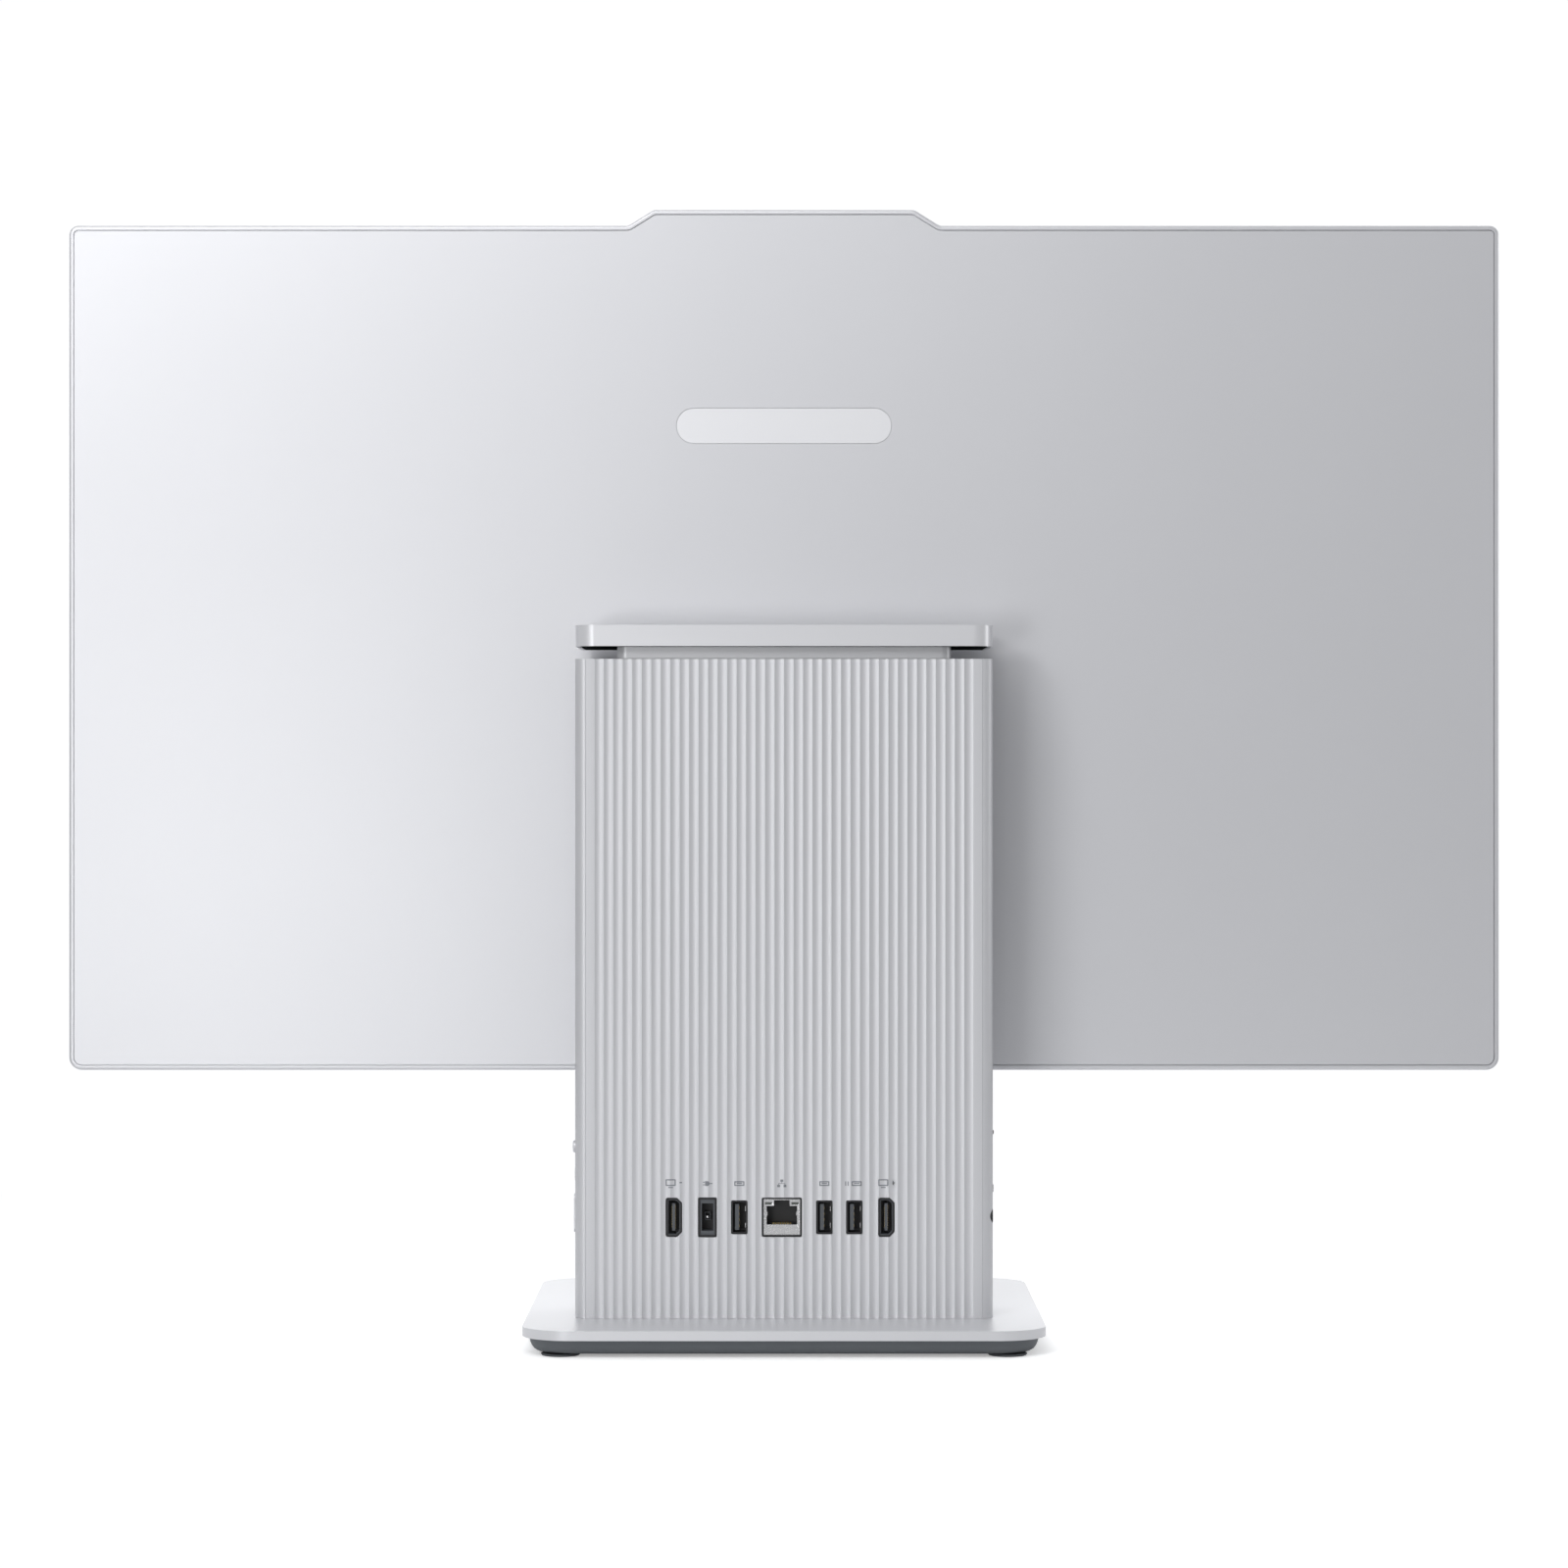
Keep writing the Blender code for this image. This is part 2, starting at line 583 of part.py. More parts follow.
def make_sockets():
    usb_shape = centred(*USB_SIZE), centred(*USB_MOUTH), centred(*USB_TONGUE)
    for name, x in zip(("video_in_port", "video_out_port"), VIDEO_X):
        socket(name, keyed(*VIDEO_SIZE, VIDEO_KEY), keyed(4.8 * MM, 14.2 * MM, VIDEO_KEY - 0.2 * MM),
               centred(1.2 * MM, 11.6 * MM), PORT_DEPTH, (x, PORT_FACE, PORT_Z), "back", BLACK)
    for number, x in enumerate(USB_X, 1):
        socket(f"usb_port_{number}", *usb_shape, PORT_DEPTH, (x, PORT_FACE, PORT_Z), "back", BLACK)
    socket("dc_power_inlet", centred(*POWER_SIZE), centred(4.8 * MM, 11.4 * MM),
           centred(0.9 * MM, 0.9 * MM), PORT_DEPTH, (POWER_X, PORT_FACE, PORT_Z), "back", BLACK)
    socket("network_port", centred(*NETWORK_SIZE), latch_mouth(), None, PORT_DEPTH,
           (NETWORK_X, PORT_FACE, PORT_Z), "back", STEEL)
    socket("side_usb_port", *usb_shape, SIDE_USB_DEPTH, (TOWER_HALF + SIDE_USB_PROUD, SIDE_Y, SIDE_USB_Z),
           "right", BLACK, SIDE_USB_FLANGE)
    socket("usb_c_port", centred(*USB_C_SIZE, radius=1.5 * MM), centred(8.0 * MM, 2.4 * MM, radius=1.1 * MM),
           centred(6.4 * MM, 0.7 * MM), USB_C_DEPTH,
           (-TOWER_HALF - USB_C_PROUD, SIDE_Y, USB_C_Z), "left", BLACK)

    floor = MM - AUDIO_DEPTH
    jack_profile = [(AUDIO_BORE, 0), (AUDIO_RADIUS, 0), (AUDIO_RADIUS, -AUDIO_DEPTH), (0, -AUDIO_DEPTH),
                    (0, floor), (AUDIO_BORE, floor), (AUDIO_BORE, 0)]
    keep(turned("audio_jack", jack_profile, (-TOWER_HALF, AUDIO_Y, AUDIO_Z), "-X", 20), BLACK)
    lamp_profile = [(0, 0), (STATUS_RADIUS, 0), (STATUS_RADIUS, -4 * MM), (0, -4 * MM)]
    keep(turned("status_light", lamp_profile, (TOWER_HALF - STATUS_SUNK, SIDE_Y, STATUS_Z), "X", 16), LAMP)


def make_button(name, z, radius, proud, edge):
    """A round button: its cap, the flange that holds it behind the wall, and its stem."""
    wall = -TOWER_WALL - GAP
    back = wall - BUTTON_FLANGE_THICK
    profile = [(0, proud), (radius - edge, proud), (radius, proud - edge), (radius, wall),
               (radius + BUTTON_FLANGE, wall), (radius + BUTTON_FLANGE, back), (BUTTON_STEM_RADIUS, back),
               (BUTTON_STEM_RADIUS, BUTTON_STEM_END), (0, BUTTON_STEM_END)]
    keep(turned(name, profile, (TOWER_HALF, SIDE_Y, z), "X", 20), SILVER)


# ---- electronics ----

def make_electronics():
    low, high = MAINBOARD_Z
    holes = [circle(x, z, 1.7 * MM, 10) for x in (-61 * MM, 61 * MM) for z in (low + 5 * MM, high - 5 * MM)]
    keep(slab("mainboard", [rectangle(-MAINBOARD_HALF, low, MAINBOARD_HALF, high, 2 * MM, steps=2)] + holes,
              MAINBOARD_FRONT, MAINBOARD_FRONT + BOARD_THICK, "XZ"), BOARD)
    chip = square(PROCESSOR_HALF, PROCESSOR_Z, 1 * MM)
    keep(slab("processor", [chip], MAINBOARD_FRONT - 2.5 * MM, MAINBOARD_FRONT - GAP, "XZ"), STEEL)
    cold_plate = square(PROCESSOR_HALF + 4 * MM, PROCESSOR_Z, 3 * MM)
    plate_back = MAINBOARD_FRONT - 2.8 * MM
    plate = slab("heat_pipe", [cold_plate], PIPE_Y + 0.4 * MM, plate_back, "XZ")
    keep(join(plate, pipe()), COPPER)
    keep(slab("fin_stack", [comb_outline(35.5 * MM, 37.0 * MM, 49.0 * MM)], 262.5 * MM, 276.5 * MM), STEEL)

    for number, y in enumerate((37.2 * MM, 33.4 * MM), 1):
        stick = slab(f"memory_module_{number}", [rectangle(-62 * MM, 92 * MM, -32 * MM, 159.6 * MM)],
                     y, y + 1.2 * MM, "XZ")
        keep(stick, BOARD)
    keep(slab("ssd_card", [rectangle(30 * MM, 28 * MM, 52 * MM, 108 * MM, 1 * MM, steps=2)],
              36.8 * MM, 38.8 * MM, "XZ"), BOARD)

    board_x, switch_half = 76.0 * MM, 2 * MM
    side = slab("side_io_board", [rectangle(36 * MM, 63.5 * MM, 49 * MM, 102 * MM, 1 * MM, steps=2)],
                board_x, board_x + BOARD_THICK, "YZ")
    for button in (POWER_BUTTON, MODE_BUTTON):
        z = button["z"]
        join(side, box("switch", (board_x + MM, SIDE_Y - switch_half, z - switch_half),
                       (board_x + 2.6 * MM, SIDE_Y + switch_half, z + switch_half)))
    keep(side, BOARD)


def square(half, z, radius):
    return rectangle(-half, z - half, half, z + half, radius, steps=3)


def comb_outline(root, spine, tip):
    """A heat sink in plan: a spine with thin fins that stand on it."""
    width = (FINS - 1) * FIN_PITCH + FIN_THICK
    points = [Vector((-width / 2, root)), Vector((width / 2, root))]
    for fin in reversed(range(FINS)):
        left = fin * FIN_PITCH - width / 2
        right = left + FIN_THICK
        points += [Vector((right, spine)), Vector((right, tip)), Vector((left, tip)), Vector((left, spine))]
    return points


def pipe():
    """The heat pipe's run: up from the processor, round the blower and along the fins."""
    side, end_x, fin_z = 48 * MM, -30 * MM, 269.5 * MM
    corners = [Vector((-12 * MM, PROCESSOR_Z)), Vector((side, PROCESSOR_Z)), Vector((side, fin_z)),
               Vector((end_x, fin_z))]
    steps = 5
    route = [corners[0]]
    for before, corner, after in zip(corners, corners[1:], corners[2:]):
        into = (corner - before).normalized()
        out = (after - corner).normalized()
        for step in range(steps + 1):
            a = math.pi / 2 * step / steps
            route.append(corner - into * PIPE_BEND * (1 - math.sin(a)) + out * PIPE_BEND * (1 - math.cos(a)))
    route.append(corners[-1])
    curve = bpy.data.curves.new("pipe", "CURVE")
    curve.dimensions = "3D"
    curve.bevel_depth = PIPE_RADIUS
    curve.bevel_resolution = 2
    curve.use_fill_caps = True
    spline = curve.splines.new("POLY")
    spline.points.add(len(route) - 1)
    for point, place in zip(spline.points, route):
        point.co = (place.x, PIPE_Y, place.y, 1.0)
    return bpy.data.objects.new("pipe", solid_mesh(curve))


def solid_mesh(curve):
    """The curve's surface as a mesh, closed and facing out."""
    guide = bpy.data.objects.new(curve.name + "_guide", curve)
    bpy.context.scene.collection.objects.link(guide)
    bpy.context.view_layer.update()
    mesh = bpy.data.meshes.new_from_object(guide.evaluated_get(bpy.context.evaluated_depsgraph_get()))
    bpy.data.objects.remove(guide, do_unlink=True)
    work = bmesh.new()
    work.from_mesh(mesh)
    bmesh.ops.remove_doubles(work, verts=work.verts, dist=0.000005)
    bmesh.ops.recalc_face_normals(work, faces=work.faces)
    work.to_mesh(mesh)
    work.free()
    return mesh


def make_blower():
    low, high, skin = 36.0 * MM, 48.0 * MM, 1.2 * MM
    case_half = 38.0 * MM
    case_low, case_high = FAN_Z - case_half, FAN_Z + case_half - 4 * MM
    case = slab("fan_housing", [rectangle(-case_half, case_low, case_half, case_high, 4 * MM, steps=3)],
                low, high, "XZ")
    middle = (low + high) / 2
    chamber = rod("fan_chamber", (FAN_X, middle, FAN_Z), FAN_RADIUS + 3 * MM, high - low - 2 * skin, "Y", 32)
    outlet = box("fan_outlet", (-FAN_RADIUS, low + skin, FAN_Z + 5 * MM),
                 (FAN_RADIUS, high - skin, case_high + 6 * MM))
    cut(case, chamber, outlet, rod("fan_inlet", (FAN_X, low, FAN_Z), 22 * MM, 6 * MM, "Y", 28))
    join(case, rod("fan_axle", (FAN_X, middle + 1.7 * MM, FAN_Z), FAN_AXLE, 7.8 * MM, "Y"))
    keep(case, BLACK)

    tip, sweep = 0.6 * MM, math.radians(24)
    star = []
    for blade in range(FAN_BLADES):
        root = math.tau * blade / FAN_BLADES
        for radius, turn, width in ((FAN_HUB, 0, -tip), (FAN_RADIUS, sweep, -tip),
                                    (FAN_RADIUS, sweep, tip), (FAN_HUB, 0, tip)):
            a = root + turn + width / radius
            star.append(Vector((radius * math.cos(a), radius * math.sin(a))))
    bore_sides = 24
    bore = circle(0, 0, (FAN_AXLE + RUNNING_CLEARANCE) / math.cos(math.pi / bore_sides), bore_sides)
    wheel = slab("fan_impeller", [star, bore], low + 2.4 * MM, high - 2.4 * MM, "XZ")
    wheel.location = (FAN_X, middle, FAN_Z)
    keep(wheel, BLACK)


def make_column_frame():
    base, top, thick = TOWER_BOTTOM, 279 * MM, 1.6 * MM
    front = 29.5 * MM
    sheet = box("column_frame", (-80 * MM, front, base), (80 * MM, front + 1.5 * MM, top))
    foot = box("frame_foot", (-60 * MM, 16 * MM, base), (60 * MM, 44 * MM, base + thick))
    head = box("frame_head", (-70 * MM, 14 * MM, top - thick), (70 * MM, front + 1 * MM, top))
    join(sheet, foot, head)
    for x in (LEFT * SCREW_X, RIGHT * SCREW_X):
        cut(sheet, *(rod("frame_hole", (x, y, base), 2.1 * MM, 12 * MM, "Z", 16) for y in SCREW_Y))
    keep(sheet, STEEL)


# ---- cap, neck and hinge ----

def cap_outline(inset, steps):
    half, front = TOWER_HALF, 3 * MM
    return outline([(-half, CAP_FRONT, front), (half, CAP_FRONT, front), (half, TOWER_BACK, CAP_CORNER),
                    (-half, TOWER_BACK, CAP_CORNER)], inset, steps)


def make_cap():
    cap = slab("cap_shell", [cap_outline(0, 8)], CAP_BOTTOM, CAP_TOP)
    round_rim(cap, 1, 0.9 * MM, 2)
    round_rim(cap, -1, 0.4 * MM, 1)
    cut(cap, slab("cap_hollow", [cap_outline(CAP_WALL, 5)], CAP_BOTTOM - 4 * MM, CAP_TOP - CAP_WALL))
    keep(cap, SILVER)
    under = slab("cap_underside", [cap_outline(CAP_WALL + GAP, 5)], CAP_BOTTOM + 0.2 * MM,
                 CAP_BOTTOM + 1.8 * MM)
    keep(under, BLACK)
    neck = rectangle(-NECK_HALF, 32 * MM, NECK_HALF, 47 * MM, 4 * MM)
    keep(slab("neck_block", [neck], TOWER_TOP + GAP, CAP_BOTTOM - 0.1 * MM), SILVER)


def make_hinge():
    low, high = TOWER_TOP + GAP, CAP_BOTTOM - GAP

    def clevis(side, sign):
        middle = sign * HINGE_X
        reach = KNUCKLE_HALF + 0.5 * MM + EAR_THICK
        made = box(f"hinge_clevis_{side}", (middle - reach, 12 * MM, low), (middle + reach, 31 * MM, high))
        for ear in (LEFT, RIGHT):
            centre = middle + ear * (reach - EAR_THICK / 2)
            arm = box("ear_arm", (centre - EAR_THICK / 2, HINGE_Y, low),
                      (centre + EAR_THICK / 2, 14 * MM, high))
            eye = rod("ear_eye", (centre, HINGE_Y, HINGE_Z), KNUCKLE_RADIUS - 0.3 * MM,
                      EAR_THICK, "X", SHAFT_SIDES)
            join(made, eye, arm)
        cut(made, rod("ear_bore", (middle, HINGE_Y, HINGE_Z), SHAFT_RADIUS + 0.12 * MM,
                      60 * MM, "X", SHAFT_SIDES))
        keep(made, STEEL)
        tip = reach + 0.5 * MM
        profile = [(0, tip + 1.6 * MM), (4.3 * MM, tip + 1.6 * MM), (4.3 * MM, tip), (SHAFT_RADIUS, tip),
                   (SHAFT_RADIUS, -tip), (0, -tip)]
        direction = "X" if sign > 0 else "-X"
        shaft = turned(f"hinge_shaft_{side}", profile, (middle, HINGE_Y, HINGE_Z), direction, SHAFT_SIDES)
        keep(shaft, STEEL)

    mirrored(clevis)


def make_tilt_arm():
    plate_back = SCREEN_BACK - 3.8 * MM
    arm = slab("tilt_arm", [rectangle(-80 * MM, 258 * MM, 80 * MM, 308 * MM, 6 * MM, steps=3)],
               plate_back - 4 * MM, plate_back, "XZ")
    bore = (SHAFT_RADIUS + RUNNING_CLEARANCE) / math.cos(math.pi / SHAFT_SIDES)
    for sign in (LEFT, RIGHT):
        x = sign * HINGE_X
        join(arm, box("arm_beam", (x - KNUCKLE_HALF, plate_back - 2 * MM, ARM_LOW),
                      (x + KNUCKLE_HALF, HINGE_Y, ARM_HIGH)),
             rod("knuckle", (x, HINGE_Y, HINGE_Z), KNUCKLE_RADIUS, 2 * KNUCKLE_HALF, "X", SHAFT_SIDES))
        cut(arm, rod("knuckle_bore", (x, HINGE_Y, HINGE_Z), bore, 40 * MM, "X", SHAFT_SIDES))
    keep(arm, STEEL)


# ---- display ----

def display_outline(inset, steps=5):
    half = SCREEN_WIDTH / 2
    corners = [(-half, SCREEN_BOTTOM, SCREEN_BOTTOM_CORNER), (half, SCREEN_BOTTOM, SCREEN_BOTTOM_CORNER),
               (half, SCREEN_TOP, SCREEN_TOP_CORNER), (BUMP_FOOT_HALF, SCREEN_TOP, BUMP_BLEND),
               (BUMP_TOP_HALF, BUMP_TOP, BUMP_BLEND), (-BUMP_TOP_HALF, BUMP_TOP, BUMP_BLEND),
               (-BUMP_FOOT_HALF, SCREEN_TOP, BUMP_BLEND), (-half, SCREEN_TOP, SCREEN_TOP_CORNER)]
    return outline(corners, inset, steps)


def arm_windows():
    play = 1.0 * MM
    reach = KNUCKLE_HALF + play
    return [rectangle(x - reach, ARM_LOW - play, x + reach, ARM_HIGH + play)
            for x in (-HINGE_X, HINGE_X)]


def make_display():
    ring = [display_outline(0), display_outline(RIM_WALL)]
    keep(slab("display_rim", ring, SCREEN_FRONT, SCREEN_BACK, "XZ"), SILVER)
    cover_front = SCREEN_BACK - COVER_THICK
    cover = slab("rear_cover", [display_outline(RIM_WALL + GROOVE)] + arm_windows(),
                 cover_front, SCREEN_BACK, "XZ")
    keep(cover, SILVER)
    frame = slab("mid_frame", [display_outline(RIM_WALL + GAP)] + arm_windows(),
                 cover_front - GAP - 1.2 * MM, cover_front - GAP, "XZ")
    keep(frame, BLACK)

    half = SCREEN_WIDTH / 2 - RIM_WALL - GAP
    low, high = SCREEN_BOTTOM + RIM_WALL + GAP, SCREEN_TOP - RIM_WALL - GAP
    split = low + CHIN_HEIGHT
    back = SCREEN_FRONT + 0.2 * MM + PANEL_THICK
    chin = outline([(-half, low, 3.3 * MM), (half, low, 3.3 * MM), (half, split, 0), (-half, split, 0)])
    keep(slab("chin_strip", [chin], SCREEN_FRONT + 0.1 * MM, back, "XZ"), SILVER)
    glass = outline([(-half, split + GAP, 0), (half, split + GAP, 0), (half, high, 1.8 * MM),
                     (-half, high, 1.8 * MM)])
    keep(slab("lcd_panel", [glass], SCREEN_FRONT + 0.2 * MM, back, "XZ"), GLASS)
    keep(slab("backlight_unit", [rectangle(-300 * MM, 130 * MM, 300 * MM, 466 * MM, 2 * MM, steps=2)],
              back + GAP, SCREEN_BACK - 9.4 * MM, "XZ"), STEEL)
    keep(slab("panel_board", [rectangle(-110 * MM, 138 * MM, 60 * MM, 170 * MM, 2 * MM, steps=2)],
              SCREEN_BACK - 8.9 * MM, SCREEN_BACK - 7.3 * MM, "XZ"), BOARD)


def make_camera():
    foot, top = 64.6 * MM, 54.6 * MM
    low, high = SCREEN_TOP - RIM_WALL + 0.1 * MM, BUMP_TOP - RIM_WALL - 0.5 * MM
    window = outline([(-foot, low, 1 * MM), (foot, low, 1 * MM), (top, high, 2 * MM), (-top, high, 2 * MM)])
    tab_low, tab_high = SHUTTER_TAB
    slot_high = tab_high + SHUTTER_TRAVEL + 0.3 * MM
    slot = rectangle(SHUTTER_SLOT_LOW, CAMERA_Z - SHUTTER_SLOT_HALF, slot_high, CAMERA_Z + SHUTTER_SLOT_HALF)
    cover = slab("camera_cover", [window, circle(0, CAMERA_Z, CAMERA_HOLE), slot],
                 SCREEN_FRONT + 0.1 * MM, SCREEN_FRONT + 1.9 * MM, "XZ")
    keep(cover, GLASS)

    blade_front = SCREEN_FRONT + 2.2 * MM
    blade = slab("privacy_shutter", [rectangle(-24 * MM, CAMERA_Z - 2.3 * MM, -4 * MM, CAMERA_Z + 2.3 * MM)],
                 blade_front, blade_front + 0.5 * MM, "XZ")
    tab_half = SHUTTER_SLOT_HALF - GAP
    tab = box("shutter_tab", (tab_low, SCREEN_FRONT - 0.7 * MM, CAMERA_Z - tab_half),
              (tab_high, blade_front + 0.2 * MM, CAMERA_Z + tab_half))
    keep(join(blade, tab), SLATE)

    lens_y = SCREEN_FRONT + 3.1 * MM
    profile = [(0, 0.9 * MM), (1.4 * MM, 0.9 * MM), (2.0 * MM, 0.75 * MM), (2.0 * MM, 0.15 * MM),
               (1.4 * MM, 0), (0, 0)]
    keep(turned("camera_lens", profile, (0, lens_y, CAMERA_Z), "Y", 20), GLASS)
    body = slab("webcam_module", [rectangle(-22 * MM, low + 0.4 * MM, 22 * MM, high - 0.3 * MM)],
                lens_y + 2.2 * MM, lens_y + 3.6 * MM, "XZ")
    barrel = rod("webcam_barrel", (0, lens_y + 1.9 * MM, CAMERA_Z), 2.2 * MM, 1.4 * MM, "Y", 20)
    keep(join(body, barrel), BLACK)


make_base()
make_shells()
make_sockets()
make_button("power_button", **POWER_BUTTON)
make_button("mode_button", **MODE_BUTTON)
make_electronics()
make_blower()
make_column_frame()
make_cap()
make_hinge()
make_tilt_arm()
make_display()
make_camera()
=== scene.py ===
import json
import math

import bmesh
import bpy
from mathutils import Matrix, Vector


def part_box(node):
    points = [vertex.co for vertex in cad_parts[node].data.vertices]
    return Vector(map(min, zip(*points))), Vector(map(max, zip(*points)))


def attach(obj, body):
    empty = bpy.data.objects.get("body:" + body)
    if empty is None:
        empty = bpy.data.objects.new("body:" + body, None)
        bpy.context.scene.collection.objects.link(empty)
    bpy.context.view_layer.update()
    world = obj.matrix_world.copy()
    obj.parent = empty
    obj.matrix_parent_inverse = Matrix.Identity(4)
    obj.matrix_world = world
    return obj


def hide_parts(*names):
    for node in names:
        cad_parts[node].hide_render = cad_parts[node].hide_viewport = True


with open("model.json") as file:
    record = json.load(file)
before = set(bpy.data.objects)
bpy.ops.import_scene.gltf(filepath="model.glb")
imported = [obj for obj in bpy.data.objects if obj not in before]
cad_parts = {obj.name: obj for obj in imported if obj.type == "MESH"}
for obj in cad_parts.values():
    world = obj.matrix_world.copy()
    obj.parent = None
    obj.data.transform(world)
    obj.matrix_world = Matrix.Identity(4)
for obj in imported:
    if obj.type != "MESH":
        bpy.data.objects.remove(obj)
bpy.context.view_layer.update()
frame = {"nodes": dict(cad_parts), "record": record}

MM = 0.001


def add_object(name, data):
    made = bpy.data.objects.new(name, data)
    bpy.context.scene.collection.objects.link(made)
    return made


def fill_inputs(tree, node, inputs):
    """Sets a shader node's inputs: each is a number, a colour, or an output that is linked to it."""
    for key, value in inputs.items():
        if isinstance(value, bpy.types.NodeSocket):
            tree.links.new(value, node.inputs[key])
        else:
            node.inputs[key].default_value = value


def add_node(tree, kind, inputs, **settings):
    node = tree.nodes.new("ShaderNode" + kind)
    for name, value in settings.items():
        setattr(node, name, value)
    fill_inputs(tree, node, inputs)
    return node


# ---- camera, lights, floor

CAMERA_PLACE = (0.0, 1.882, 0.2325)
CAMERA_LENS = 101.4
SENSOR = 36.0
ROOM_COLOR = (0.985, 0.99, 1.0, 1.0)
ROOM_LIGHT = 0.38  # what the room gives from the camera's side
BACKDROP_LIGHT = 1.19  # what the side behind the screen adds to it
BACKDROP_FROM = -0.6  # the y of a direction in which the backdrop is at its full strength
WHITE = 1.02  # how bright the room and the far floor look
FLOOR_COLOR = (0.93, 0.935, 0.94, 1.0)
FLOOR_LIFT = 0.36  # the near floor's own glow, which keeps its shadows soft
FLOOR_FADE = (0.10, 0.75)  # distances between which the floor turns into the white room
FLOOR_RADIUS = 30.0

# Name, place, the point that it faces, size and watts.
LIGHTS = (
    ("high", (0.3, 1.1, 1.2), (0.0, 0.0, 0.3), (0.8, 0.6), 7.7),
    ("low", (0.5, 1.7, 0.05), (0.05, 0.0, 0.3), (0.32, 0.42), 5.2),
    ("side", (0.85, 1.7, 0.95), (0.05, 0.0, 0.3), (0.32, 0.42), 6.5),
    ("edge", (-1.1, 0.06, 0.45), (-0.08, 0.03, 0.29), (0.25, 0.5), 1.2),
)


def make_camera():
    data = bpy.data.cameras.new("camera")
    data.lens = CAMERA_LENS
    data.sensor_width = SENSOR
    data.clip_end = 100.0
    camera = add_object("camera", data)
    camera.location = CAMERA_PLACE
    camera.rotation_euler = (math.pi / 2, 0, math.pi)
    bpy.context.scene.camera = camera


def area_light(name, place, target, size, power):
    data = bpy.data.lights.new(name, "AREA")
    data.shape = "RECTANGLE"
    data.size, data.size_y = size
    data.energy = power
    light = add_object(name, data)
    light.location = place
    light.rotation_euler = (Vector(target) - Vector(place)).to_track_quat("-Z", "Y").to_euler()


def by_ray(tree, seen, lighting):
    """A strength that is seen by the camera as one number and lights the object with another.

    lighting is a number or a node's output.
    """
    path = add_node(tree, "LightPath", {})
    pick = add_node(tree, "Mix", {"Factor": path.outputs["Is Camera Ray"], "A": lighting, "B": seen})
    return pick.outputs["Result"]


def make_room():
    """A white room whose backdrop, behind the screen, is brighter than the side with the camera."""
    world = bpy.data.worlds.new("studio")
    bpy.context.scene.world = world
    world.use_nodes = True
    tree = world.node_tree
    where = add_node(tree, "TexCoord", {})
    split = add_node(tree, "SeparateXYZ", {0: where.outputs["Generated"]})
    strength = add_node(tree, "MapRange", {"Value": split.outputs["Y"], "From Min": 0.0,
                                           "From Max": BACKDROP_FROM, "To Min": ROOM_LIGHT,
                                           "To Max": ROOM_LIGHT + BACKDROP_LIGHT},
                        interpolation_type="SMOOTHSTEP")
    fill_inputs(tree, tree.nodes["Background"],
                {"Color": ROOM_COLOR, "Strength": by_ray(tree, WHITE, strength.outputs["Result"])})


def make_studio():
    bpy.context.scene.view_settings.view_transform = "Standard"
    make_room()
    for light in LIGHTS:
        area_light(*light)

    floor_mesh = bpy.data.meshes.new("floor")
    work = bmesh.new()
    bmesh.ops.create_circle(work, cap_ends=True, segments=96, radius=FLOOR_RADIUS)
    work.to_mesh(floor_mesh)
    work.free()
    floor = add_object("floor", floor_mesh)
    floor.data.materials.append(floor_material())


def floor_material():
    """A pale floor that takes soft shadows near the object and fades into the white room."""
    made = bpy.data.materials.new("floor_white")
    made.use_nodes = True
    tree = made.node_tree
    tree.nodes.clear()
    matte = add_node(tree, "BsdfDiffuse", {"Color": FLOOR_COLOR})
    lift = add_node(tree, "Emission", {"Strength": by_ray(tree, FLOOR_LIFT, 0.0)})
    near = add_node(tree, "AddShader", {0: matte.outputs["BSDF"], 1: lift.outputs["Emission"]})
    far = add_node(tree, "Emission", {"Color": ROOM_COLOR, "Strength": by_ray(tree, WHITE, ROOM_LIGHT)})
    where = add_node(tree, "NewGeometry", {})
    length = add_node(tree, "VectorMath", {0: where.outputs["Position"]}, operation="LENGTH")
    fade = add_node(tree, "MapRange", {"Value": length.outputs["Value"], "From Min": FLOOR_FADE[0],
                                       "From Max": FLOOR_FADE[1]}, interpolation_type="SMOOTHSTEP")
    mix = add_node(tree, "MixShader", {"Fac": fade.outputs["Result"], 1: near.outputs["Shader"],
                                       2: far.outputs["Emission"]})
    add_node(tree, "OutputMaterial", {"Surface": mix.outputs["Shader"]})
    return made


# ---- materials

COAT_ROUGHNESS = 0.08
MOTTLE_SCALE = 14.0  # blotches of the colour per metre
CREASE = math.radians(32)  # a CAD edge that turns by more than this stays sharp


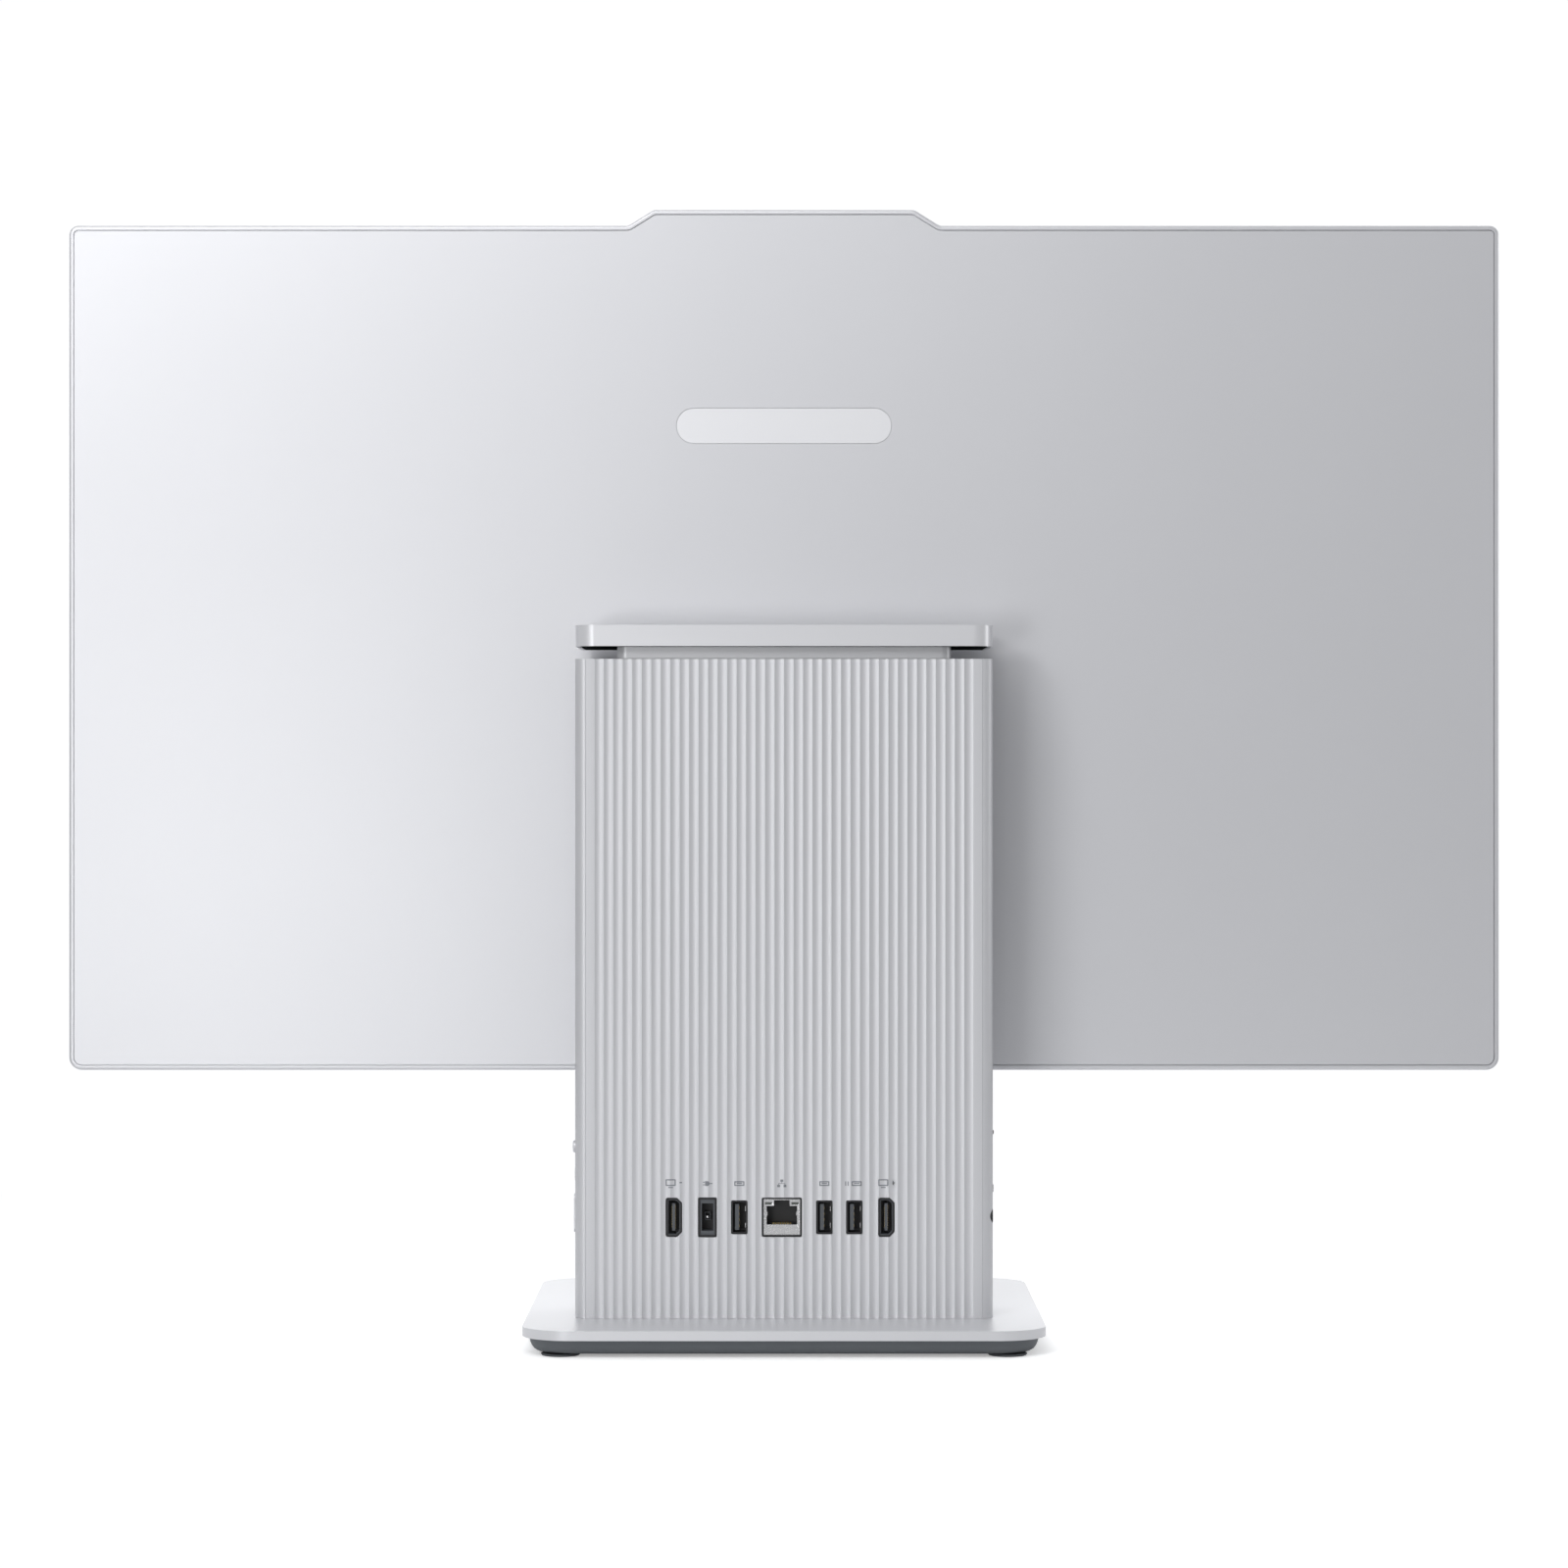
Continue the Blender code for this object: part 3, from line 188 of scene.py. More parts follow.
def surface(name, color, roughness, metallic=0.0, grain=0.0, grain_size=0.5 * MM, mottle=0.0,
            spread=0.04, stretch=(1, 1, 1), coat=0.0, specular=0.5):
    """A Principled material whose colour, roughness and height vary a little, as a real finish does.

    grain is the bump's height in metres, mottle the share by which the colour changes, and
    spread how far the roughness wanders. stretch draws the pattern out, as brushing does.
    """
    made = bpy.data.materials.new(name)
    made.use_nodes = True
    tree = made.node_tree
    where = add_node(tree, "TexCoord", {})
    drawn = add_node(tree, "Mapping", {"Vector": where.outputs["Object"], "Scale": stretch})
    broad = add_node(tree, "TexNoise", {"Vector": drawn.outputs["Vector"], "Scale": MOTTLE_SCALE,
                                        "Detail": 3.0})
    tone = add_node(tree, "Mix", {"Factor": broad.outputs["Fac"],
                                  "A": (*(c * (1 - mottle) for c in color), 1.0),
                                  "B": (*(min(1.0, c * (1 + mottle)) for c in color), 1.0)},
                    data_type="RGBA")
    fine = add_node(tree, "TexNoise", {"Vector": drawn.outputs["Vector"], "Scale": 1.0 / grain_size,
                                       "Detail": 2.0})
    rough = add_node(tree, "MapRange", {"Value": fine.outputs["Fac"], "To Min": roughness - spread,
                                        "To Max": roughness + spread})
    looks = {"Base Color": tone.outputs["Result"], "Roughness": rough.outputs["Result"],
             "Metallic": metallic, "Specular IOR Level": specular, "Coat Weight": coat,
             "Coat Roughness": COAT_ROUGHNESS}
    if grain:
        bump = add_node(tree, "Bump", {"Height": fine.outputs["Fac"], "Strength": 1.0, "Distance": grain})
        looks["Normal"] = bump.outputs["Normal"]
    fill_inputs(tree, tree.nodes["Principled BSDF"], looks)
    return made


def glowing(made, color, strength):
    """Makes a lit lamp of a material."""
    tree = made.node_tree
    fill_inputs(tree, tree.nodes["Principled BSDF"],
                {"Emission Color": (*color, 1.0), "Emission Strength": strength})
    return made


SILVER = surface("silver_paint", (0.640, 0.645, 0.672), 0.40, 0.45, grain=0.010 * MM, mottle=0.012)
FLUTED = surface("fluted_paint", (0.570, 0.575, 0.598), 0.42, 0.38, grain=0.010 * MM, mottle=0.012)
BASE_SILVER = surface("base_paint", (0.620, 0.625, 0.648), 0.36, 0.30, grain=0.007 * MM, mottle=0.010)
CAP_SILVER = surface("cap_paint", (0.675, 0.680, 0.705), 0.34, 0.40, grain=0.006 * MM, mottle=0.010)
# A lighter copy of the silver paint: painted light on the neck, which sits in the cap's shade.
NECK_SILVER_PAINTED_LIGHT = surface("neck_painted_light", (0.80, 0.805, 0.83), 0.36, 0.30, grain=0.006 * MM, mottle=0.010)
SLATE = surface("slate_plastic", (0.110, 0.121, 0.132), 0.55, grain=0.02 * MM, mottle=0.06)
BLACK = surface("black_plastic", (0.013, 0.013, 0.015), 0.42, grain=0.01 * MM, mottle=0.08)
# Near black with no sheen at all: painted shade for the cap's underside, over the shaded gap below the
# cap.
CAP_UNDERSIDE_PAINTED_SHADE = surface("cap_underside_painted_shade", (0.030, 0.034, 0.036), 0.95, mottle=0.08, specular=0.0)
GREY_INSERT = surface("grey_insert", (0.075, 0.082, 0.092), 0.45, grain=0.01 * MM, mottle=0.05)
RUBBER = surface("foot_rubber", (0.085, 0.093, 0.101), 0.80, grain=0.03 * MM, mottle=0.10)
STEEL = surface("bare_steel", (0.56, 0.57, 0.59), 0.32, 1.0, spread=0.10, stretch=(1, 1, 0.06))
NICKEL = surface("nickel", (0.62, 0.62, 0.63), 0.26, 1.0, spread=0.06)
GOLD = surface("gold_contacts", (0.80, 0.62, 0.30), 0.25, 1.0, spread=0.05)
ALLOY = surface("cast_alloy", (0.50, 0.51, 0.53), 0.48, 1.0, grain=0.03 * MM, mottle=0.05)
COPPER = surface("copper", (0.75, 0.38, 0.22), 0.30, 1.0, spread=0.08, mottle=0.05)
BOARD = surface("circuit_board", (0.015, 0.085, 0.050), 0.38, grain=0.02 * MM, grain_size=1.2 * MM,
                mottle=0.25)
WHITE_TRAY = surface("backlight_tray", (0.72, 0.72, 0.73), 0.50, mottle=0.02)
SCREEN = surface("screen_glass", (0.006, 0.006, 0.008), 0.10, mottle=0.05, spread=0.02, coat=1.0)
ACTIVE = surface("screen_active", (0.012, 0.013, 0.018), 0.22, mottle=0.04, spread=0.03, coat=1.0)
LENS = surface("lens_glass", (0.020, 0.012, 0.045), 0.06, spread=0.02, coat=1.0)
PRINT = surface("grey_print", (0.20, 0.21, 0.23), 0.55, mottle=0.03)
BADGE = surface("badge_silver", (0.775, 0.78, 0.805), 0.40, 0.45, grain=0.004 * MM, mottle=0.01)
LAMP = glowing(surface("lamp_white", (0.80, 0.83, 0.88), 0.30, spread=0.03), (0.85, 0.92, 1.0), 0.6)
LAMP_OFF = surface("lamp_off", (0.10, 0.11, 0.10), 0.30, spread=0.03)

SLOT_FINISH = {"silver_base": BASE_SILVER, "silver_housing": SILVER, "fluted_silver": FLUTED,
               "slate_plastic": SLATE, "black_plastic": BLACK, "rubber": RUBBER, "steel": STEEL,
               "cast_alloy": ALLOY, "backlight_white": WHITE_TRAY, "circuit_board": BOARD,
               "copper": COPPER, "screen_glass": SCREEN, "lens_glass": LENS, "status_lamp": LAMP}


def dress_cad_nodes():
    """Gives every CAD node its slot's material, for the nodes that no finer piece replaces."""
    for row in frame["record"]["subparts"]:
        node = frame["nodes"][row["node"]]
        node.data.materials.clear()
        node.data.materials.append(SLOT_FINISH[row["material_slot"]])
        node.data.shade_smooth()
        node.data.set_sharp_from_angle(angle=CREASE)


# ---- shapes

MERGE = 0.002 * MM  # points nearer than this are one point
FACING = {"back": math.pi, "right": math.pi / 2, "left": -math.pi / 2}


def middle_of(node):
    low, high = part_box(node)
    return tuple((a + b) / 2 for a, b in zip(low, high))


def outline(corners, inset=0.0, steps=8):
    """A closed outline with rounded corners, moved inwards by inset.

    The (x, y, radius) corners run anticlockwise. A radius of 0 leaves a sharp corner.
    """
    count = len(corners)
    points = [Vector(corner[:2]) for corner in corners]
    path = []
    for i in range(count):
        before = (points[i] - points[i - 1]).normalized()
        after = (points[(i + 1) % count] - points[i]).normalized()
        turn = before.x * after.y - before.y * after.x
        angle = math.atan2(turn, before.dot(after))
        inward = Vector((-before.y, before.x)) + Vector((-after.y, after.x))
        tip = points[i] + inward.normalized() * (inset / math.cos(angle / 2))
        radius = corners[i][2] - inset if turn > 0 else corners[i][2] + inset
        if corners[i][2] == 0 or radius <= 0:
            path.append(tip)
            continue
        start = tip - before * (radius * abs(math.tan(angle / 2)))
        centre = start + Vector((-before.y, before.x)) * math.copysign(radius, turn)
        arm = start - centre
        for step in range(steps + 1):
            path.append(centre + Matrix.Rotation(angle * step / steps, 2) @ arm)
    return path


def rectangle(low_x, low_y, high_x, high_y, radius=0.0, inset=0.0, steps=8):
    corners = [(low_x, low_y, radius), (high_x, low_y, radius),
               (high_x, high_y, radius), (low_x, high_y, radius)]
    return outline(corners, inset, steps)


def centred(width, height, x=0.0, y=0.0, radius=0.0, steps=5):
    """A rectangle about a middle."""
    return rectangle(x - width / 2, y - height / 2, x + width / 2, y + height / 2, radius, steps=steps)


def grown(size, margin):
    """A width and a height with a margin added all round."""
    return [length + 2 * margin for length in size]


def circle(x, y, radius, sides=40):
    angles = [math.tau * i / sides for i in range(sides)]
    return [(x + radius * math.cos(angle), y + radius * math.sin(angle)) for angle in angles]


def quarter_round(radius, steps):
    """A rounded edge's (inset, depth) points, from the side to the face."""
    angles = [math.pi / 2 * step / steps for step in range(steps + 1)]
    return [(radius * (1 - math.cos(angle)), radius * (1 - math.sin(angle))) for angle in angles]


def from_bmesh(name, work):
    """Makes the object of a closed shape, with its faces turned outwards."""
    if work.calc_volume(signed=True) < 0:
        bmesh.ops.reverse_faces(work, faces=work.faces)
    mesh = bpy.data.meshes.new(name)
    work.to_mesh(mesh)
    work.free()
    return add_object(name, mesh)


def evaluated_mesh(thing):
    bpy.context.view_layer.update()
    return bpy.data.meshes.new_from_object(thing.evaluated_get(bpy.context.evaluated_depsgraph_get()))


def discard(thing):
    bpy.data.objects.remove(thing, do_unlink=True)


def slab(name, loops, low, high, plane="XY"):
    """Flat outlines pulled to a thickness, in the row frame. The first loop is the outside.

    In plane XZ the second coordinate is height and the thickness runs along Y; in plane YZ it
    runs along X.
    """
    curve = bpy.data.curves.new(name, "CURVE")
    curve.dimensions = "2D"
    curve.fill_mode = "BOTH"
    curve.extrude = (high - low) / 2
    for loop in loops:
        spline = curve.splines.new("POLY")
        spline.points.add(len(loop) - 1)
        for point, place in zip(spline.points, loop):
            point.co = (*place, 0.0, 1.0)
        spline.use_cyclic_u = True
    guide = add_object(name + "_outline", curve)
    mesh = evaluated_mesh(guide)
    discard(guide)
    work = bmesh.new()
    work.from_mesh(mesh)
    bmesh.ops.remove_doubles(work, verts=work.verts, dist=MERGE)
    bmesh.ops.recalc_face_normals(work, faces=work.faces)
    shift = Matrix.Translation((0, 0, (low + high) / 2))
    turn = {"XY": Matrix.Identity(4),
            "XZ": Matrix.Rotation(math.pi / 2, 4, "X") @ Matrix.Scale(-1, 4, (0, 0, 1)),
            "YZ": Matrix.Rotation(math.pi / 2, 4, "Z") @ Matrix.Rotation(math.pi / 2, 4, "X")}[plane]
    bmesh.ops.transform(work, matrix=turn @ shift, verts=work.verts)
    return from_bmesh(name, work)


def box(name, low, high):
    work = bmesh.new()
    bmesh.ops.create_cube(work, size=1.0)
    size = [b - a for a, b in zip(low, high)]
    middle = [(a + b) / 2 for a, b in zip(low, high)]
    bmesh.ops.scale(work, vec=size, verts=work.verts)
    bmesh.ops.translate(work, vec=middle, verts=work.verts)
    return from_bmesh(name, work)


def lathe(name, profile, centre, axis, sides=48):
    """A turned piece. The profile's (radius, height) points run from its top to its bottom.

    Heights count from centre, along the axis.
    """
    mesh = bpy.data.meshes.new(name)
    points = [(radius, 0.0, height) for radius, height in profile]
    mesh.from_pydata(points, [(i, i + 1) for i in range(len(points) - 1)], [])
    guide = add_object(name, mesh)
    screw = guide.modifiers.new("turn", "SCREW")
    screw.steps = sides
    screw.use_merge_vertices = True
    screw.merge_threshold = 2.5 * MERGE
    work = bmesh.new()
    work.from_mesh(evaluated_mesh(guide))
    discard(guide)
    bmesh.ops.remove_doubles(work, verts=work.verts, dist=2.5 * MERGE)
    bmesh.ops.recalc_face_normals(work, faces=work.faces)
    turn = {"X": Matrix.Rotation(math.pi / 2, 4, "Y"), "-X": Matrix.Rotation(-math.pi / 2, 4, "Y"),
            "-Y": Matrix.Rotation(math.pi / 2, 4, "X"), "Z": Matrix.Identity(4)}[axis]
    bmesh.ops.transform(work, matrix=Matrix.Translation(centre) @ turn, verts=work.verts)
    return from_bmesh(name, work)


def rod(name, radius, low, high, centre, axis, sides=32):
    """A plain round bar, which cuts a round hole."""
    return lathe(name, [(0, high), (radius, high), (radius, low), (0, low)], centre, axis, sides)


def loft(name, rings):
    """A closed skin through outlines of equal length; each ring is (outline, height)."""
    work = bmesh.new()
    rows = [[work.verts.new((*point, z)) for point in points] for points, z in rings]
    count = len(rows[0])
    for lower, upper in zip(rows, rows[1:]):
        for i in range(count):
            j = (i + 1) % count
            work.faces.new((lower[i], lower[j], upper[j], upper[i]))
    work.faces.new(list(reversed(rows[0])))
    work.faces.new(rows[-1])
    bmesh.ops.recalc_face_normals(work, faces=work.faces)
    return from_bmesh(name, work)


def aim(thing, centre, facing):
    """Turns a shape made at the origin so that its +Z points out of the object, and puts it at centre."""
    turn = Matrix.Rotation(FACING[facing], 4, "Z") @ Matrix.Rotation(math.pi / 2, 4, "X")
    thing.data.transform(Matrix.Translation(centre) @ turn)
    return thing


def combine(thing, others, operation):
    """Cuts, joins or intersects, and leaves one plain mesh."""
    for other in others:
        step = thing.modifiers.new(operation.lower(), "BOOLEAN")
        step.operation = operation
        step.solver = "EXACT"
        step.object = other
    thing.data = evaluated_mesh(thing)
    thing.modifiers.clear()
    for other in others:
        discard(other)
    return thing


def cut(thing, *others):
    return combine(thing, others, "DIFFERENCE")


def soften(thing, width, segments=3, angle=50):
    """Rounds every edge that turns by more than angle degrees; the rounding stays a modifier."""
    bevel = thing.modifiers.new("round", "BEVEL")
    bevel.width = width
    bevel.segments = segments
    bevel.limit_method = "ANGLE"
    bevel.angle_limit = math.radians(angle)
    bevel.use_clamp_overlap = True
    bevel.miter_outer = "MITER_ARC"
    return thing


def fuse(name, parts):
    """Joins parts into one object; each keeps its material."""
    work = bmesh.new()
    finishes = []
    for thing, finish in parts:
        mesh = evaluated_mesh(thing)
        first = len(work.faces)
        work.from_mesh(mesh)
        work.faces.ensure_lookup_table()
        if finish not in finishes:
            finishes.append(finish)
        for face in work.faces[first:]:
            face.material_index = finishes.index(finish)
        discard(thing)
    made = from_bmesh(name, work)
    for finish in finishes:
        made.data.materials.append(finish)
    return made


FLAT_WEIGHT = 80  # how strongly the broad faces hold the shading flat


def place(thing, body, slot, finish=None, replaces=(), smooth=35):
    """Finishes a piece: its shading, material, body and the CAD nodes that it stands for; slot is not
    used.
    """
    if finish:
        thing.data.materials.clear()
        thing.data.materials.append(finish)
    thing.data.shade_smooth()
    thing.data.set_sharp_from_angle(angle=math.radians(smooth))
    flat = thing.modifiers.new("flat_faces", "WEIGHTED_NORMAL")
    flat.keep_sharp = True
    flat.weight = FLAT_WEIGHT
    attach(thing, body)
    if replaces:
        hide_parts(*replaces)


# ---- base

BASE_CORNER = 20.0 * MM
BASE_ROUND = 0.9 * MM
# How far the skirt lies in from the base plate's edge, in mm, and the share of its height.
SKIRT_PROFILE = ((7.8, 0.0), (6.1, 0.07), (4.8, 0.20), (3.9, 0.40), (3.2, 0.68), (2.8, 1.0))
SCREW_WELL = 4.5 * MM
FOOT_ROUND = 0.75 * MM
FOOT_GROOVE = ((2.6, 0), (2.9, 0.25), (3.2, 0.25), (3.5, 0))  # in from the edge and up, in mm


def base_outline(inset, steps=16):
    low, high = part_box("base_plate")
    return rectangle(low.x, low.y, high.x, high.y, BASE_CORNER, inset, steps)


def make_base():
    low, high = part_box("base_plate")
    plate = slab("base_plate_fine", [base_outline(0)], low.z, high.z)
    place(soften(plate, BASE_ROUND, 4), "stand", "silver_base", BASE_SILVER, ["base_plate"])

    low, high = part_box("base_skirt")
    rings = [(base_outline(inset * MM), low.z + share * (high.z - low.z))
             for inset, share in SKIRT_PROFILE]
    skirt = loft("base_skirt_fine", rings)
    wells = []
    for number in range(1, 5):
        x, y, _ = middle_of(f"base_screw_{number}")
        wells.append(rod("well", SCREW_WELL, low.z - MM, high.z + MM, (x, y, 0), "Z"))
        make_screw(f"base_screw_{number}")
    cut(skirt, *wells)
    place(skirt, "stand", "slate_plastic", SLATE, ["base_skirt"])

    for row in ("front", "rear"):
        for side in ("left", "right"):
            make_foot(f"foot_{row}_{side}")


def make_foot(node):
    """A rubber foot with a rounded edge and a ring groove in its sole."""
    low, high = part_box(node)
    x, y, _ = middle_of(node)
    radius = (high.x - low.x) / 2
    profile = [(0, high.z), (radius, high.z)]
    profile += [(radius - inset, depth) for inset, depth in quarter_round(FOOT_ROUND, 5)]
    profile += [(radius - inset * MM, rise * MM) for inset, rise in FOOT_GROOVE]
    profile.append((0, 0))
    foot = lathe(node + "_fine", profile, (x, y, 0), "Z", 64)
    place(foot, "stand", "rubber", RUBBER, [node])


def make_screw(node):
    """A pan-head screw, seen from below in its well, with a cross recess."""
    x, y, _ = middle_of(node)
    low, high = (corner.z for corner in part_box(node))
    head, thread = 3.3 * MM, 1.7 * MM
    profile = [(0, high), (thread - 0.3 * MM, high), (thread, high - 0.5 * MM), (thread, low + 2.2 * MM),
               (head, low + 2.2 * MM), (head, low + 0.7 * MM), (head - 0.35 * MM, low + 0.2 * MM),
               (head - 1.1 * MM, low), (0, low)]
    screw = lathe(node + "_fine", profile, (x, y, 0), "Z", 32)
    long, short, recess = 1.9 * MM, 0.4 * MM, 1.3 * MM
    arms = [box("cross", (x - a, y - b, low - MM), (x + a, y + b, low + recess))
            for a, b in ((long, short), (short, long))]
    cut(screw, *arms)
    place(screw, "stand", "steel", STEEL, [node])


# ---- tower

FLUTES = 40
FLUTE_SPAN = 157.1 * MM
FLUTE_DEPTH = 0.30 * MM
FLUTE_STEPS = 12
RIDGE = 0.10 * MM
TOWER_CORNER = 4.3 * MM
TOWER_WALL = 2.2 * MM
BACK_WALL = 3.0 * MM
INNER_CORNER = 2.0 * MM
OVERRUN = 50.0 * MM  # a shell's outline runs on past the seam, and is trimmed there
SEAM_X = FLUTE_SPAN / 2 + 3.7 * MM
SEAM = ((0.12, 0), (0, -0.18), (-0.12, 0))  # a fine groove's section, in mm
SHELL_SINK = 0.26 * MM  # the rear shell reaches this far into the base plate
PORT_PLAY = 0.28 * MM
HOLE_REACH = 8.0 * MM
BEZEL_REACH = 3.0 * MM
BUTTON_RIM = 1.1 * MM  # the hidden rim that holds a button in the wall
WINDOW_RADIUS = 1.15 * MM
WINDOW_RISE = 23.1 * MM  # above the USB-C socket
SURROUND_SHIFT = 1.6 * MM  # from the audio socket towards the tower's rounded edge
VIDEO_BEVEL = 1.9 * MM
USB_MOUTH = (6.3 * MM, 13.5 * MM)
USB_C_MOUTH = (8.9 * MM, 3.2 * MM)
GRILLE_CORNER = 4.0 * MM
GRILLE_GAP = 0.3 * MM
GRILLE_SLOTS = 35
GRILLE_SLOT_HALF = 0.85 * MM


def fluted_line(back, lift=0.0):
    """The back wall's outer line, from its right-hand flute to its left-hand one."""
    pitch = FLUTE_SPAN / FLUTES
    width = pitch - RIDGE
    radius = (width * width / 4 + FLUTE_DEPTH * FLUTE_DEPTH) / (2 * FLUTE_DEPTH)
    line = []
    for flute in range(FLUTES):
        middle = FLUTE_SPAN / 2 - pitch * (flute + 0.5)
        for step in range(FLUTE_STEPS + 1):
            across = width * (step / FLUTE_STEPS - 0.5)
            sink = math.sqrt(radius * radius - across * across) - (radius - FLUTE_DEPTH)
            line.append((middle - across, back - sink + lift))
    return line


def make_rear_shell():
    low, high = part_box("rear_shell")
    corners = rectangle(low.x, low.y - OVERRUN, high.x, high.y, TOWER_CORNER, steps=12)
    right_corner = [p for p in corners if p.y > low.y and p.x > 0]
    left_corner = [p for p in corners if p.y > low.y and p.x < 0]
    right_corner += [(SEAM_X + x * MM, high.y + y * MM) for x, y in SEAM]
    left_corner = [(-SEAM_X + x * MM, high.y + y * MM) for x, y in SEAM] + left_corner
    profile = [(high.x, low.y)] + right_corner + fluted_line(high.y) + left_corner + [(low.x, low.y)]
    profile += inner_line(high.x, low.y, high.y - BACK_WALL, -INNER_CORNER)
    shell = slab("rear_shell_fine", [profile], low.z - SHELL_SINK, high.z)
    holes = []
    for node in ("video_in_port", "video_out_port"):
        size = port_face(node)[1]
        holes.append(back_hole(node, keyed(*size, VIDEO_BEVEL, 0.7 * MM, -PORT_PLAY), high.y))
    for node in ("usb_port_1", "usb_port_2", "usb_port_3", "dc_power_inlet", "network_port"):
        size = grown(port_face(node)[1], PORT_PLAY)
        holes.append(back_hole(node, centred(*size, radius=0.6 * MM), high.y))
    holes.append(side_hole("side_usb_port", USB_MOUTH, 0.6 * MM))
    holes.append(side_hole("usb_c_port", USB_C_MOUTH, 1.8 * MM))
    holes.append(rod("hole", WINDOW_RADIUS, -BEZEL_REACH, BEZEL_REACH, window_place(), "X"))
    holes.append(rod("hole", half_height("audio_jack") + PORT_PLAY, -BEZEL_REACH, BEZEL_REACH,
                     surround_place(), "X", 40))
    for node in ("power_button", "mode_button"):
        holes.append(round_hole(node, half_height(node) - BUTTON_RIM))
    for node in ("status_light", "audio_jack"):
        holes.append(round_hole(node, half_height(node)))
    cut(shell, *holes)
    place(soften(shell, 0.16 * MM, 2, 62), "stand", "fluted_silver", FLUTED, ["rear_shell"])


def inner_line(outer, seam, wall, corner):
    """A shell's inner outline from end to end of the seam, left to right.

    corner is the size of its bevelled corners, which is negative where the wall lies behind them.
    """
    inner = outer - TOWER_WALL
    half = [(inner, seam), (inner, wall + corner), (inner - abs(corner), wall)]
    return [(-x, y) for x, y in half] + list(reversed(half))


def half_height(node):
    low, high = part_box(node)
    return (high.z - low.z) / 2


def port_face(node):
    """The middle of a back socket's mouth, and its width and height."""
    low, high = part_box(node)
    x, _, z = middle_of(node)
    return (x, high.y, z), (high.x - low.x, high.z - low.z)


def keyed(width, height, bevel, radius, inset=0.0):
    """A rectangle whose two corners on the +x side are cut off."""
    w, h = width / 2, height / 2
    corners = ((-w, -h), (w - bevel, -h), (w, -h + bevel), (w, h - bevel), (w - bevel, h), (-w, h))
    return outline([(x, y, radius) for x, y in corners], inset, 5)


def back_hole(node, points, back):
    x, _, z = middle_of(node)
    return aim(slab("hole", [points], -HOLE_REACH, HOLE_REACH), (x, back, z), "back")


def side_face(node):
    """The middle of the outer face of something in the tower's side."""
    low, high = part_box(node)
    _, y, z = middle_of(node)
    return (high.x if high.x > 0 else low.x), y, z


def side_hole(node, size, radius):
    x, y, z = side_face(node)
    mouth = centred(*grown(size, PORT_PLAY), y, z, radius)
    return slab("hole", [mouth], x - HOLE_REACH, x + HOLE_REACH, "YZ")


def round_hole(node, radius):
    return rod("hole", radius + PORT_PLAY, -HOLE_REACH, HOLE_REACH, side_face(node), "X", 40)


def window_place():
    """The little dark window on the left side, above the USB-C socket."""
    _, y, z = middle_of("usb_c_port")
    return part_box("rear_shell")[0].x, y, z + WINDOW_RISE


def surround_place():
    """The audio socket's dark surround, which runs on to the tower's rounded edge."""
    x, y, z = side_face("audio_jack")
    return x, y + SURROUND_SHIFT, z


def make_front_shell():
    low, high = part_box("front_shell")
    wall = low.y + TOWER_WALL
    corners = rectangle(low.x, low.y, high.x, high.y + OVERRUN, TOWER_CORNER, steps=12)
    profile = [(low.x, high.y)] + [p for p in corners if p.y < high.y] + [(high.x, high.y)]
    profile += reversed(inner_line(high.x, high.y, wall, INNER_CORNER))
    shell = slab("front_shell_fine", [profile], low.z, high.z)
    grille_low, grille_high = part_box("speaker_grille")
    window = rectangle(grille_low.x, grille_low.z, grille_high.x, grille_high.z,
                       GRILLE_CORNER + GRILLE_GAP, -GRILLE_GAP)
    cut(shell, slab("window", [window], low.y - 3 * MM, wall + 3 * MM, "XZ"))
    place(soften(shell, 0.25 * MM, 3, 62), "stand", "silver_housing", SILVER, ["front_shell"])

    slots = []
    last = (GRILLE_SLOTS - 1) // 2
    for i in range(-last, last + 1):
        x = i * FLUTE_SPAN / FLUTES
        edge = 4.0 * MM if abs(i) < last else 5.5 * MM
        slots.append(rectangle(x - GRILLE_SLOT_HALF, grille_low.z + edge, x + GRILLE_SLOT_HALF,
                               grille_high.z - edge, GRILLE_SLOT_HALF * 0.98, steps=4))
    plate = rectangle(grille_low.x, grille_low.z, grille_high.x, grille_high.z, GRILLE_CORNER)
    grille = slab("speaker_grille_fine", [plate] + slots, grille_low.y, grille_high.y, "XZ")
    place(soften(grille, 0.2 * MM, 2), "stand", "slate_plastic", SLATE, ["speaker_grille"])


# ---- sockets
# A socket is made at the origin: its mouth lies in z = 0, and it goes down from there.

SOCKET_DEPTH = 11.0 * MM
SOCKET_FLOOR = 9.6 * MM  # from the mouth to the bottom of the cavity
VIDEO_WALL = 0.55 * MM
USB_WALL = 0.5 * MM
USB_C_WALL = 0.3 * MM
INLET_WALL = 0.65 * MM


def tube(name, outer, inner, depth=SOCKET_DEPTH, floor=SOCKET_FLOOR):
    """A socket's housing: a wall between two outlines, closed at its inner end."""
    body = slab(name, [outer], -depth, 0)
    return cut(body, slab("cavity", [inner], -floor, 2 * MM))


def contacts(count, pitch, size, x, floor, tip):
    """A row of contact strips up one side of a tongue, each from the floor to its tip."""
    parts = []
    wide, long = size[0] / 2, size[1] / 2
    for i in range(count):
        y = (i - (count - 1) / 2) * pitch
        parts.append((box("contact", (x - wide, y - long, -floor), (x + wide, y + long, -tip)), GOLD))
    return parts


def socket(node, parts, centre, facing):
    slot = "steel" if node == "network_port" else "black_plastic"
    place(aim(fuse(node + "_fine", parts), centre, facing), "stand", slot, None, [node], 30)


